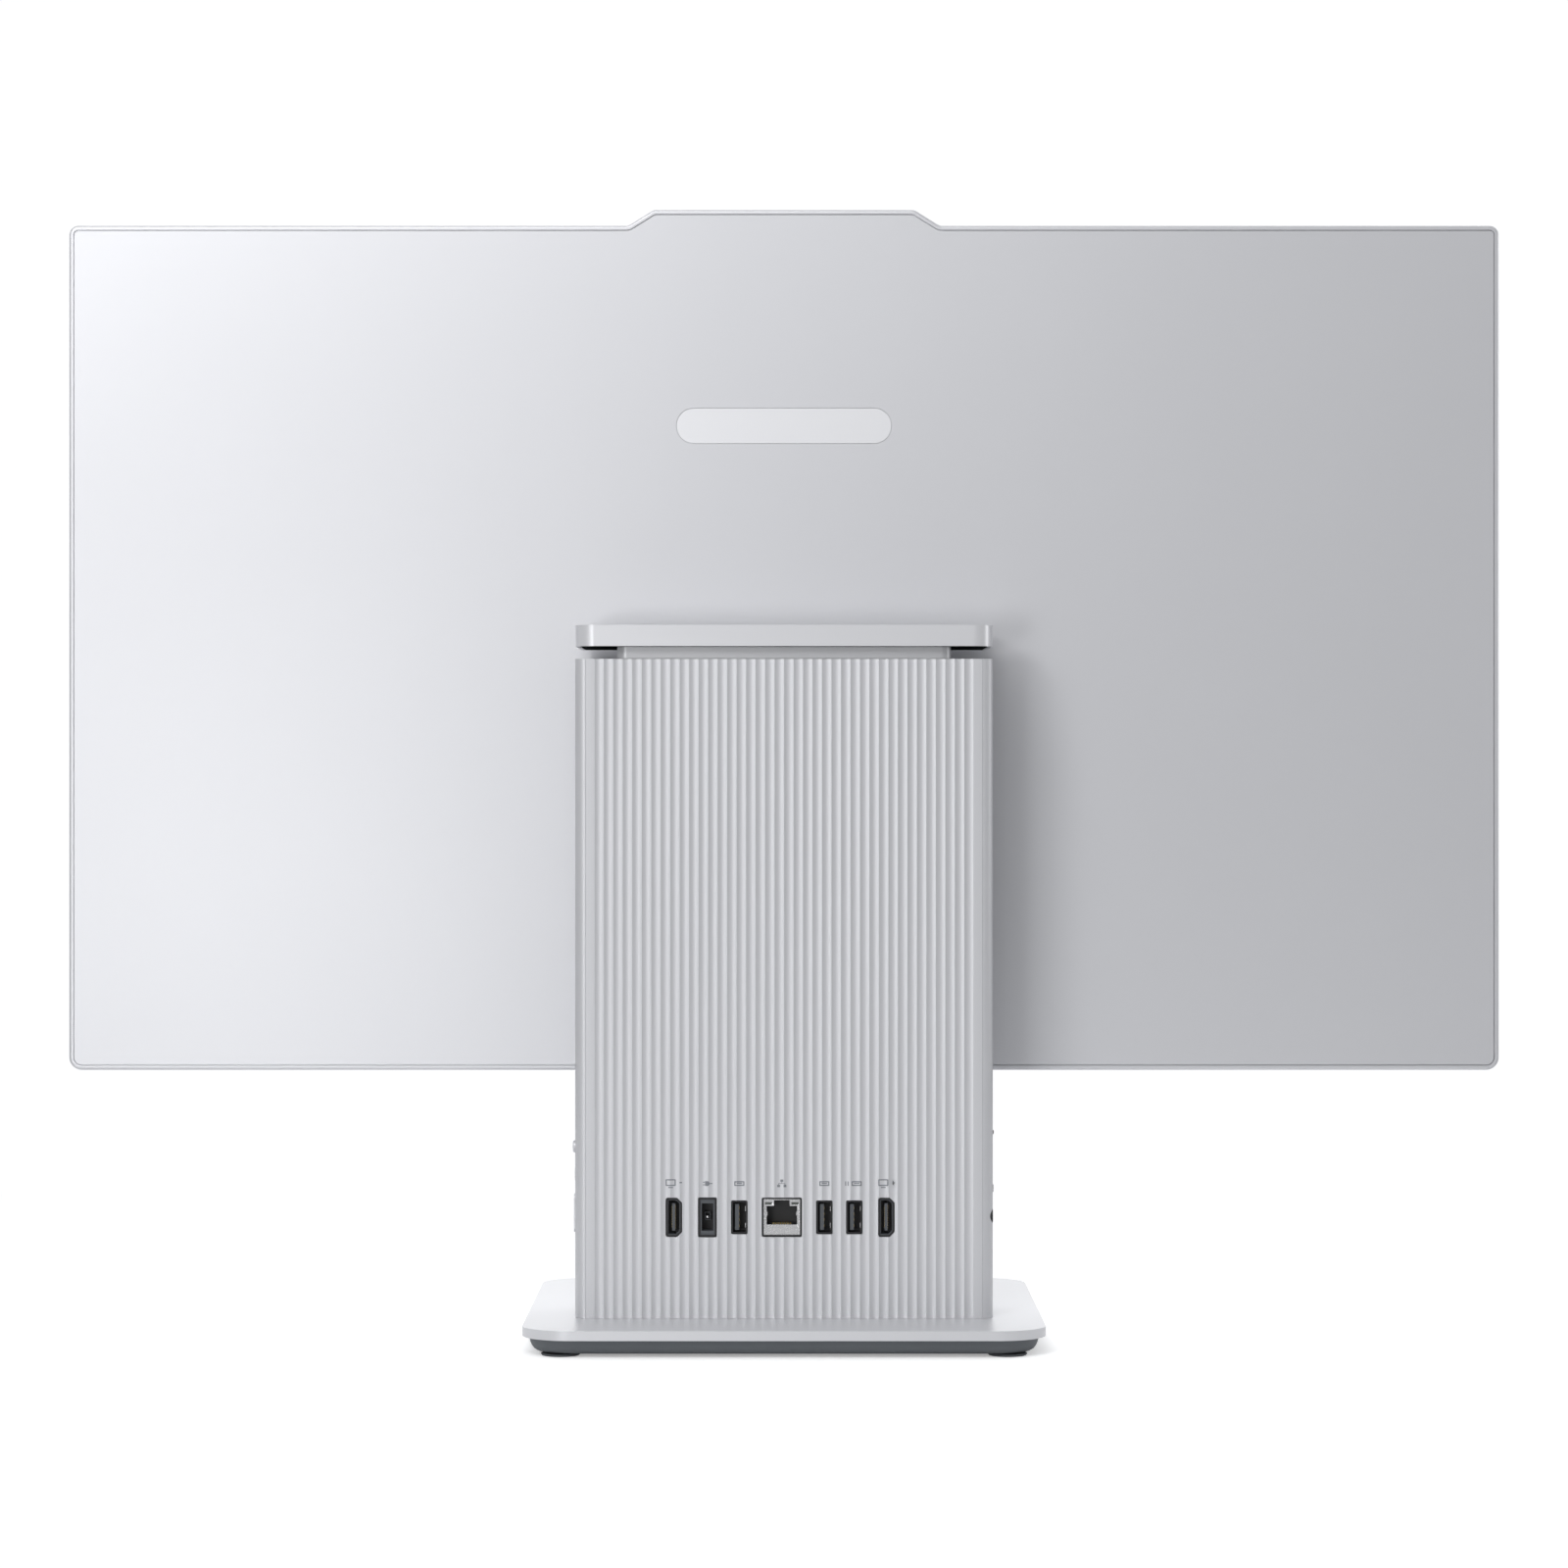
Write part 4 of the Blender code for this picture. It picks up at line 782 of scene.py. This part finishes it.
def make_video_port(node):
    centre, size = port_face(node)
    outer, inner, lining_outer, lining_inner = (
        keyed(*size, VIDEO_BEVEL, 0.6 * MM, inset)
        for inset in (0, VIDEO_WALL, VIDEO_WALL + 0.03 * MM, VIDEO_WALL + 0.31 * MM))
    shell = soften(tube("shell", outer, inner), 0.12 * MM, 2)
    lining = slab("lining", [lining_outer, lining_inner], -9.5 * MM, -0.5 * MM)
    tongue = slab("tongue", [centred(1.3 * MM, 11.4 * MM, -0.1 * MM)], -9.8 * MM, -1.3 * MM)
    parts = [(shell, BLACK), (lining, GREY_INSERT), (soften(tongue, 0.15 * MM, 2), GREY_INSERT)]
    for count, x in ((10, 0.6 * MM), (9, -0.8 * MM)):
        parts += contacts(count, 1.0 * MM, (0.12 * MM, 0.45 * MM), x, SOCKET_FLOOR, 1.8 * MM)
    socket(node, parts, centre, "back")


def make_usb_port(node, centre, facing, depth, flange=False):
    floor = depth - 1.5 * MM
    outer = centred(*USB_MOUTH, radius=0.35 * MM)
    inner = centred(*grown(USB_MOUTH, -USB_WALL), radius=0.2 * MM)
    shell = soften(tube("shell", outer, inner, depth, floor), 0.1 * MM, 2)
    tongue = slab("tongue", [centred(1.7 * MM, 11.0 * MM, -0.95 * MM)], -floor - 0.3 * MM, -1.3 * MM)
    parts = [(shell, BLACK), (soften(tongue, 0.18 * MM, 2), GREY_INSERT)]
    for y in (-3.4 * MM, 3.4 * MM):
        spring = centred(0.25 * MM, 2.0 * MM, 2.5 * MM, y, 0.1 * MM)
        parts.append((slab("spring", [spring], -5.5 * MM, -1.6 * MM), NICKEL))
    parts += contacts(4, 2.4 * MM, (0.14 * MM, 1.1 * MM), -0.06 * MM, floor, 2.2 * MM)
    if flange:
        ring = slab("flange", [centred(8.7 * MM, 15.7 * MM, radius=1.6 * MM),
                               centred(6.4 * MM, 13.6 * MM, radius=0.4 * MM)], -0.66 * MM, 0)
        parts.append((soften(ring, 0.3 * MM, 3), BASE_SILVER))
    socket(node, parts, centre, facing)


def make_power_inlet():
    centre, size = port_face("dc_power_inlet")
    inner, lining = (centred(*grown(size, -wall), radius=0.3 * MM)
                     for wall in (INLET_WALL, INLET_WALL + 0.03 * MM))
    shell = soften(tube("shell", centred(*size, radius=0.5 * MM), inner), 0.12 * MM, 2)
    ring = slab("ring", [lining, centred(4.8 * MM, 11.4 * MM, radius=0.3 * MM)], -9.5 * MM, -0.55 * MM)
    pin = soften(slab("pin", [centred(0.9 * MM, 0.9 * MM)], -9.8 * MM, -1.4 * MM), 0.15 * MM, 2)
    sleeve = slab("sleeve", [centred(2.3 * MM, 3.4 * MM, radius=0.3 * MM), centred(1.7 * MM, 2.8 * MM)],
                  -9.8 * MM, -6.0 * MM)
    socket("dc_power_inlet", [(shell, BLACK), (ring, GREY_INSERT), (pin, NICKEL), (sleeve, GREY_INSERT)],
           centre, "back")


JACK_HALF, JACK_LOW, JACK_HIGH = 6.3 * MM, -3.1 * MM, 4.6 * MM
LATCH_HALF, LATCH_HIGH = 3.2 * MM, 7.0 * MM
JACK_FACE = -0.8 * MM  # the metal face lies this deep in its frame
LAMP_X, LAMP_Y = 5.45 * MM, 5.7 * MM
WIRES, WIRE_PITCH = 8, 1.02 * MM


def jack_outline(inset=0.0):
    """The opening for a network plug, with the notch for its latch."""
    corners = [(-JACK_HALF, JACK_LOW), (JACK_HALF, JACK_LOW), (JACK_HALF, JACK_HIGH),
               (LATCH_HALF, JACK_HIGH), (LATCH_HALF, LATCH_HIGH), (-LATCH_HALF, LATCH_HIGH),
               (-LATCH_HALF, JACK_HIGH), (-JACK_HALF, JACK_HIGH)]
    return outline([(x, y, 0.2 * MM) for x, y in corners], inset, 3)


def make_network_port():
    """A metal face in a black frame, with two lamps over the opening and eight wires in it."""
    centre, size = port_face("network_port")
    ring = [centred(*size, radius=0.3 * MM), centred(*grown(size, -0.45 * MM), radius=0.2 * MM)]
    rim = soften(slab("rim", ring, -SOCKET_DEPTH, 0), 0.1 * MM, 2)
    lamps = [centred(2.9 * MM, 1.0 * MM, side * LAMP_X, LAMP_Y, 0.2 * MM) for side in (-1, 1)]
    plate = centred(*grown(size, -0.5 * MM), radius=0.2 * MM)
    face = slab("face", [plate, jack_outline()] + lamps, JACK_FACE - 1.2 * MM, JACK_FACE)
    body = tube("body", centred(*grown(size, -0.6 * MM)), jack_outline(-0.02 * MM),
                SOCKET_DEPTH + JACK_FACE)
    behind_face = Matrix.Translation((0, 0, JACK_FACE - 1.25 * MM))
    body.data.transform(behind_face @ Matrix.Scale(0.86, 4, (0, 0, 1)))
    parts = [(rim, BLACK), (soften(face, 0.1 * MM, 2), NICKEL), (body, BLACK)]
    for side in (-1, 1):
        window = slab("lamp", [centred(2.7 * MM, 0.8 * MM, side * LAMP_X, LAMP_Y, 0.15 * MM)],
                      JACK_FACE - 1.2 * MM, JACK_FACE - 0.35 * MM)
        tab = centred(0.5 * MM, 1.6 * MM, side * (JACK_HALF - 0.1 * MM), 1.4 * MM, 0.2 * MM)
        tab = slab("tab", [tab], JACK_FACE - 3.5 * MM, JACK_FACE - 0.3 * MM)
        parts += [(window, LAMP_OFF), (tab, NICKEL)]
    for i in range(WIRES):
        x = (i - (WIRES - 1) / 2) * WIRE_PITCH
        wire = box("wire", (x - 0.2 * MM, JACK_LOW + 0.1 * MM, -9.2 * MM),
                   (x + 0.2 * MM, JACK_LOW + 0.5 * MM, -3.0 * MM))
        parts.append((wire, GOLD))
    socket("network_port", parts, centre, "back")


def make_usb_c_port():
    outer, inner = (centred(*grown(USB_C_MOUTH, -wall), radius=1.58 * MM - wall, steps=8)
                    for wall in (0, USB_C_WALL))
    shell = soften(tube("shell", outer, inner, 9 * MM, 7.6 * MM), 0.08 * MM, 2)
    tongue = soften(slab("tongue", [centred(6.6 * MM, 0.7 * MM)], -7.9 * MM, -0.9 * MM), 0.1 * MM, 2)
    socket("usb_c_port", [(shell, NICKEL), (tongue, BLACK)], side_face("usb_c_port"), "left")


def make_audio_jack():
    low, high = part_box("audio_jack")
    middle = side_face("audio_jack")
    radius, bore, depth = half_height("audio_jack"), 1.75 * MM, high.x - low.x
    profile = [(bore, -0.35 * MM), (bore + 0.35 * MM, 0), (radius - 0.25 * MM, 0), (radius, -0.25 * MM),
               (radius, -depth), (0, -depth), (0, -depth + MM), (bore, -depth + MM), (bore, -0.35 * MM)]
    jack = lathe("audio_jack_fine", profile, middle, "-X", 48)
    rim = lathe("rim", [(radius, 0), (radius, -2 * MM), (0, -2 * MM), (0, -0.6 * MM), (bore, -0.6 * MM),
                        (bore, 0), (radius, 0)], surround_place(), "-X", 48)
    combine(jack, [cut(rim, rod("opening", bore, -5 * MM, MM, middle, "-X", 48))], "UNION")
    place(jack, "stand", "black_plastic", BLACK, ["audio_jack"])


def make_sockets():
    for node in ("video_in_port", "video_out_port"):
        make_video_port(node)
    for node in ("usb_port_1", "usb_port_2", "usb_port_3"):
        make_usb_port(node, port_face(node)[0], "back", SOCKET_DEPTH)
    low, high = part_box("side_usb_port")
    make_usb_port("side_usb_port", side_face("side_usb_port"), "right", high.x - low.x, flange=True)
    make_power_inlet()
    make_network_port()
    make_usb_c_port()
    make_audio_jack()


def make_button(node):
    """A round button with a shallow dish, a rim behind the wall and a stem."""
    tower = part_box("rear_shell")[1].x
    low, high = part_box(node)
    proud, inner = high.x - tower, low.x - tower
    flange = half_height(node)
    radius = flange - BUTTON_RIM
    edge, dish = min(0.7 * MM, 0.6 * proud), 0.12 * proud
    profile = [((radius - edge) * share, proud - dish * (1 - share * share))
               for share in (0, 0.25, 0.5, 0.75, 1)]
    profile += [(radius - inset, proud - depth) for inset, depth in reversed(quarter_round(edge, 4)[:-1])]
    profile += [(radius, -2.5 * MM), (flange, -2.5 * MM), (flange, -3.4 * MM), (1.2 * MM, -3.4 * MM),
                (1.2 * MM, inner), (0, inner)]
    _, y, z = middle_of(node)
    place(lathe(node + "_fine", profile, (tower, y, z), "X", 64), node, "silver_housing", SILVER, [node])


def make_side_controls():
    make_button("power_button")
    make_button("mode_button")
    low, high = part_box("status_light")
    radius, depth = half_height("status_light"), high.x - low.x
    profile = [(0, 0), (radius * 0.5, -0.03 * MM), (radius * 0.85, -0.12 * MM), (radius, -0.3 * MM),
               (radius, -depth), (0, -depth)]
    lamp = lathe("status_light_fine", profile, side_face("status_light"), "X", 32)
    place(lamp, "stand", "status_lamp", LAMP, ["status_light"])
    rim = WINDOW_RADIUS - 0.08 * MM
    profile = [(0, 0.8 * MM), (rim * 0.6, 0.72 * MM), (rim * 0.9, 0.45 * MM), (rim, 0), (rim, -2 * MM),
               (0, -2 * MM)]
    place(lathe("activity_window", profile, window_place(), "-X", 32), "stand", "black_plastic", BLACK)


VENT_SLOTS = 8  # on each side
VENT_OUTERMOST, VENT_PITCH = 72.0 * MM, 5.5 * MM
VENT_SLOT_HALF = 1.3 * MM
VENT_SLOT_Y = (14.0 * MM, 28.0 * MM)


def make_top_vent():
    low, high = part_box("top_vent_plate")
    slots = []
    for side in (-1, 1):
        for step in range(VENT_SLOTS):
            x = side * (VENT_OUTERMOST - step * VENT_PITCH)
            slots.append(rectangle(x - VENT_SLOT_HALF, VENT_SLOT_Y[0], x + VENT_SLOT_HALF, VENT_SLOT_Y[1],
                                   VENT_SLOT_HALF - 0.02 * MM, steps=6))
    plate = slab("top_vent_plate_fine", [rectangle(low.x, low.y, high.x, high.y, 3.7 * MM)] + slots,
                 low.z, high.z)
    place(soften(plate, 0.25 * MM, 2), "stand", "slate_plastic", SLATE, ["top_vent_plate"])


# ---- cap and neck

CAP_ROUND = 0.75 * MM
CAP_WALL = 1.8 * MM
NECK_CORNER = 4.0 * MM


def plate_outline(node, front, rear, inset=0.0, steps=12):
    """A node's outline from above, with one radius for its front corners and one for its rear ones."""
    low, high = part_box(node)
    return outline([(low.x, low.y, front), (high.x, low.y, front), (high.x, high.y, rear),
                    (low.x, high.y, rear)], inset, steps)


def make_cap():
    low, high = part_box("cap_shell")
    outer, inner = (plate_outline("cap_shell", 3.0 * MM, 8.0 * MM, inset, 18) for inset in (0, CAP_WALL))
    cap = soften(slab("cap_shell_fine", [outer], low.z, high.z), CAP_ROUND, 4)
    cut(cap, slab("hollow", [inner], low.z - 4 * MM, high.z - CAP_WALL))
    place(cap, "stand", "silver_housing", CAP_SILVER, ["cap_shell"])

    # The underside is a black sheet without sheen: painted shade in the gap between the cap and the
    # tower.
    bottom, top = low.z + 0.03 * MM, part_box("cap_underside")[1].z
    points = plate_outline("cap_underside", 1.0 * MM, 5.9 * MM)
    underside = slab("cap_underside_fine", [points], bottom, top)
    place(soften(underside, 0.2 * MM, 2), "stand", "black_plastic", CAP_UNDERSIDE_PAINTED_SHADE, ["cap_underside"])

    low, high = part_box("neck_block")
    neck = slab("neck_block_fine", [plate_outline("neck_block", NECK_CORNER, NECK_CORNER)], low.z, high.z)
    place(soften(neck, 0.12 * MM, 2), "stand", "silver_housing", NECK_SILVER_PAINTED_LIGHT, ["neck_block"])


# ---- display

RIM_WALL = 1.9 * MM
GROOVE = 0.5 * MM
BUMP_FOOT_HALF = 66.8 * MM
BUMP_TOP_HALF = 55.9 * MM
BUMP_BLEND = 4.0 * MM
SCREEN_TOP = 471.9 * MM  # the display's top edge, beside the raised part
RIM_FRONT_ROUND = 0.4 * MM
RIM_REAR_ROUND = 1.1 * MM
LIP_GAP = 0.04 * MM  # between the rim and the lip that closes the groove's bottom
GROOVE_DEPTH = 0.9 * MM
ARM_WINDOW_X = (-45.0 * MM, 45.0 * MM)  # the two openings for the tilt arm
ARM_WINDOW_HALF = 12.5 * MM
ARM_WINDOW_Z = (276.2 * MM, 287.0 * MM)
BADGE_Z = 386.0 * MM
BADGE_HALF_WIDE, BADGE_HALF_TALL = 46.0 * MM, 7.5 * MM
BADGE_GAP = 0.22 * MM
ACTIVE_HALF_WIDE, ACTIVE_HALF_TALL = 298.95 * MM, 168.15 * MM


def display_outline(inset, steps=14):
    """The display's outline, with the raised part for the camera in its top edge."""
    low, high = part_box("display_rim")
    half = high.x
    corners = [(-half, low.z, 5.5 * MM), (half, low.z, 5.5 * MM), (half, SCREEN_TOP, 4 * MM),
               (BUMP_FOOT_HALF, SCREEN_TOP, BUMP_BLEND), (BUMP_TOP_HALF, high.z, BUMP_BLEND),
               (-BUMP_TOP_HALF, high.z, BUMP_BLEND), (-BUMP_FOOT_HALF, SCREEN_TOP, BUMP_BLEND),
               (-half, SCREEN_TOP, 4 * MM)]
    return outline(corners, inset, steps)


def make_display_shell():
    low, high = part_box("display_rim")
    front, rear = quarter_round(RIM_FRONT_ROUND, 2), quarter_round(RIM_REAR_ROUND, 4)
    rings = [(display_outline(inset), low.y + depth) for inset, depth in reversed(front)]
    rings += [(display_outline(inset), high.y - depth) for inset, depth in rear]
    rim = aim(loft("display_rim_fine", rings), (0, 0, 0), "back")
    cut(rim, slab("inside", [display_outline(RIM_WALL)], low.y - MM, high.y + MM, "XZ"))
    place(rim, "display", "silver_housing", SILVER, ["display_rim"])

    low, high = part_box("rear_cover")
    windows = [rectangle(x - ARM_WINDOW_HALF, ARM_WINDOW_Z[0], x + ARM_WINDOW_HALF, ARM_WINDOW_Z[1],
                         1.2 * MM) for x in ARM_WINDOW_X]
    cover = slab("rear_cover_fine", [display_outline(RIM_WALL + GROOVE)] + windows, low.y, high.y, "XZ")
    badge, seat = (rectangle(-BADGE_HALF_WIDE, BADGE_Z - BADGE_HALF_TALL, BADGE_HALF_WIDE,
                             BADGE_Z + BADGE_HALF_TALL, BADGE_HALF_TALL * 0.99, -gap, 16)
                   for gap in (0, BADGE_GAP))
    cut(cover, slab("badge_seat", [seat], high.y - 0.5 * MM, high.y + MM, "XZ"))
    place(soften(cover, 0.2 * MM, 2, 40), "display", "silver_housing", SILVER, ["rear_cover"])
    lip = slab("rear_cover_lip", [display_outline(RIM_WALL + LIP_GAP), display_outline(RIM_WALL + MM)],
               low.y + 0.5 * MM, high.y - GROOVE_DEPTH, "XZ")
    place(lip, "display", "silver_housing", SILVER)
    plate = slab("rear_badge", [badge], high.y - 0.45 * MM, high.y + 0.02 * MM, "XZ")
    place(soften(plate, 0.12 * MM, 2), "display", "silver_housing", BADGE)


def make_screen():
    low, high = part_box("lcd_panel")
    glass = outline([(low.x, low.z, 0), (high.x, low.z, 0), (high.x, high.z, 1.8 * MM),
                     (low.x, high.z, 1.8 * MM)])
    z = middle_of("lcd_panel")[2]
    window, active = (rectangle(-ACTIVE_HALF_WIDE, z - ACTIVE_HALF_TALL, ACTIVE_HALF_WIDE,
                                z + ACTIVE_HALF_TALL, 0, inset) for inset in (0, 0.02 * MM))
    border = soften(slab("border", [glass, window], low.y, high.y, "XZ"), 0.15 * MM, 2)
    image = slab("image", [active], low.y + 0.03 * MM, high.y, "XZ")
    made = fuse("lcd_panel_fine", [(border, SCREEN), (image, ACTIVE)])
    place(made, "display", "screen_glass", None, ["lcd_panel"])

    low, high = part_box("chin_strip")
    chin = outline([(low.x, low.z, 3.3 * MM), (high.x, low.z, 3.3 * MM), (high.x, high.z, 0),
                    (low.x, high.z, 0)])
    place(soften(slab("chin_strip_fine", [chin], low.y, high.y, "XZ"), 0.25 * MM, 3), "display",
          "silver_housing", SILVER, ["chin_strip"])


CAMERA_BAR_TOP_HALF = 54.6 * MM
CAMERA_OPENING = 2.2 * MM
MICROPHONES = (-42.0 * MM, -30.0 * MM, 30.0 * MM, 42.0 * MM)
CAMERA_LAMP_X = 9.0 * MM
SHUTTER_SLOT = (-22.8 * MM, -12.2 * MM)
SHUTTER_GRIP = (-22.5 * MM, -19.5 * MM)
GRIP_LINES = (-21.8 * MM, -21.0 * MM, -20.2 * MM)
BLADE_FRONT = -25.8 * MM  # the y of the shutter blade's front face
LENS_DOME = 1.5 * MM


def make_camera_bar():
    """A dark window with the lens opening, four microphone holes, a lamp and the shutter's slot."""
    low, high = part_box("camera_cover")
    z = middle_of("camera_lens")[2]
    window = outline([(low.x, low.z, MM), (high.x, low.z, MM), (CAMERA_BAR_TOP_HALF, high.z, 2 * MM),
                      (-CAMERA_BAR_TOP_HALF, high.z, 2 * MM)])
    holes = [circle(0, z, CAMERA_OPENING, 64)]
    holes += [circle(x, z, 0.45 * MM, 20) for x in MICROPHONES]
    holes.append(circle(CAMERA_LAMP_X, z, 0.7 * MM, 24))
    holes.append(rectangle(SHUTTER_SLOT[0], z - 0.9 * MM, SHUTTER_SLOT[1], z + 0.9 * MM, 0.5 * MM,
                           steps=5))
    cover = slab("cover", [window] + holes, low.y, high.y, "XZ")
    profile = [(CAMERA_OPENING, 0.12 * MM), (2.5 * MM, 0.12 * MM), (2.75 * MM, -0.1 * MM),
               (CAMERA_OPENING, -0.1 * MM), (CAMERA_OPENING, 0.12 * MM)]
    ring = lathe("ring", profile, (0, low.y, z), "-Y", 64)
    profile = [(0, -0.1 * MM), (0.62 * MM, -0.2 * MM), (0.62 * MM, -1.2 * MM), (0, -1.2 * MM)]
    led = lathe("led", profile, (CAMERA_LAMP_X, low.y, z), "-Y", 24)
    made = fuse("camera_cover_fine", [(soften(cover, 0.1 * MM, 2), SCREEN), (ring, STEEL),
                                      (led, LAMP_OFF)])
    place(made, "display", "screen_glass", None, ["camera_cover"])


def make_camera_lens():
    low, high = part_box("camera_lens")
    depth = high.y - low.y
    shares = [step / 6 for step in range(7)]
    profile = [(LENS_DOME * share, -0.3 * MM * share * share) for share in shares]
    profile += [(1.6 * MM, -0.42 * MM), (2.0 * MM, -0.42 * MM), (2.0 * MM, -depth), (0, -depth)]
    lens = lathe("camera_lens_fine", profile, (0, low.y, middle_of("camera_lens")[2]), "-Y", 64)
    place(lens, "display", "lens_glass", LENS, ["camera_lens"])


def make_privacy_shutter():
    """A blade behind the camera bar; its ribbed grip stands in the slot."""
    low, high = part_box("privacy_shutter")
    z = middle_of("camera_lens")[2]
    blade = rectangle(low.x, low.z, high.x, high.z, 0.6 * MM)
    shutter = slab("privacy_shutter_fine", [blade], BLADE_FRONT, high.y, "XZ")
    tab = rectangle(SHUTTER_GRIP[0], z - 0.6 * MM, SHUTTER_GRIP[1], z + 0.6 * MM, 0.3 * MM)
    grip = soften(slab("grip", [tab], low.y, BLADE_FRONT + 0.2 * MM, "XZ"), 0.1 * MM, 2)
    lines = [box("line", (x - 0.12 * MM, low.y - 0.2 * MM, z - MM),
                 (x + 0.12 * MM, low.y + 0.18 * MM, z + MM)) for x in GRIP_LINES]
    combine(soften(shutter, 0.1 * MM, 2), [cut(grip, *lines)], "UNION")
    place(shutter, "shutter", "slate_plastic", SLATE, ["privacy_shutter"])


# ---- pictograms over the sockets

ICON_Z = 67.1 * MM
ICON_REACH = 3.0 * MM  # half of the height of the band that carries the printing
PRINT_RISE, PRINT_ROOT = 0.04 * MM, -0.06 * MM  # from the flutes' surface


def bar(u0, v0, u1, v1, radius=0.0):
    """A small rectangle in a pictogram's own millimetres: u to the viewer's right, v up."""
    return rectangle(u0 * MM, v0 * MM, u1 * MM, v1 * MM, radius * MM, steps=4)


def poly(*points):
    return [(u * MM, v * MM) for u, v in points]


def monitor_icon(outward):
    """A screen on its foot, and an arrow that goes in or comes out."""
    screen = [bar(-3.4, -1.0, 0.8, 1.8, 0.3), bar(-2.9, -0.5, 0.3, 1.3), bar(-2.3, -1.85, -0.3, -1.4)]
    tip, tail = (3.4, 1.4) if outward else (1.4, 3.4)
    neck = tip + (tail - tip) * 0.45
    barbs = ((neck, 1.3), (neck, -0.5)) if outward else ((neck, -0.5), (neck, 1.3))
    low, high = sorted((neck, tail))
    return screen + [poly((tip, 0.4), *barbs), bar(low, 0.15, high, 0.65)]


def plug_icon():
    body = [poly((-1.0, -1.0), (0.3, -1.0), (0.9, -0.4), (0.9, 0.4), (0.3, 1.0), (-1.0, 1.0))]
    return body + [bar(-1.9, 0.35, -1.1, 0.7), bar(-1.9, -0.7, -1.1, -0.35), bar(1.0, -0.2, 2.1, 0.2)]


def slot_icon():
    return [bar(-2.1, -1.0, 2.1, 1.0, 0.2), bar(-1.6, -0.5, 1.6, 0.5), bar(-1.15, -0.12, 1.15, 0.28)]


def fast_slot_icon():
    """The slot again, with two short strokes beside it."""
    strokes = [bar(-3.8, -0.9, -3.35, 0.9), bar(-2.8, -0.9, -2.35, 0.9)]
    return strokes + [[(x + MM, y) for x, y in loop] for loop in slot_icon()]


def network_icon():
    nodes = [bar(-0.6, 0.7, 0.6, 1.7), bar(-1.9, -1.5, -0.7, -0.5), bar(0.7, -1.5, 1.9, -0.5)]
    lines = [bar(-0.15, 0.15, 0.15, 0.66), bar(-1.45, -0.12, 1.45, 0.12), bar(-1.45, -0.46, -1.15, -0.16),
             bar(1.15, -0.46, 1.45, -0.16)]
    return nodes + lines


def make_icons():
    """The printing lies on the flutes: each pictogram is cut from a skin that follows them."""
    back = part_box("rear_shell")[1].y
    section = fluted_line(back, PRINT_RISE) + list(reversed(fluted_line(back, PRINT_ROOT)))
    icons = {"video_in_port": monitor_icon(False), "video_out_port": monitor_icon(True),
             "dc_power_inlet": plug_icon(), "usb_port_1": slot_icon(), "usb_port_2": slot_icon(),
             "usb_port_3": fast_slot_icon(), "network_port": network_icon()}
    parts = []
    for node, loops in icons.items():
        middle = middle_of(node)[0]
        turned = [[(middle - x, ICON_Z + y) for x, y in loop] for loop in loops]
        stamp = slab("stamp", turned, back - 2 * MM, back + MM, "XZ")
        skin = slab("skin", [section], ICON_Z - ICON_REACH, ICON_Z + ICON_REACH)
        parts.append((combine(stamp, [skin], "INTERSECT"), PRINT))
    place(fuse("socket_pictograms", parts), "stand", "slate_plastic")


make_camera()
make_studio()
dress_cad_nodes()
make_base()
make_rear_shell()
make_front_shell()
make_sockets()
make_side_controls()
make_top_vent()
make_cap()
make_display_shell()
make_screen()
make_camera_bar()
make_camera_lens()
make_privacy_shutter()
make_icons()
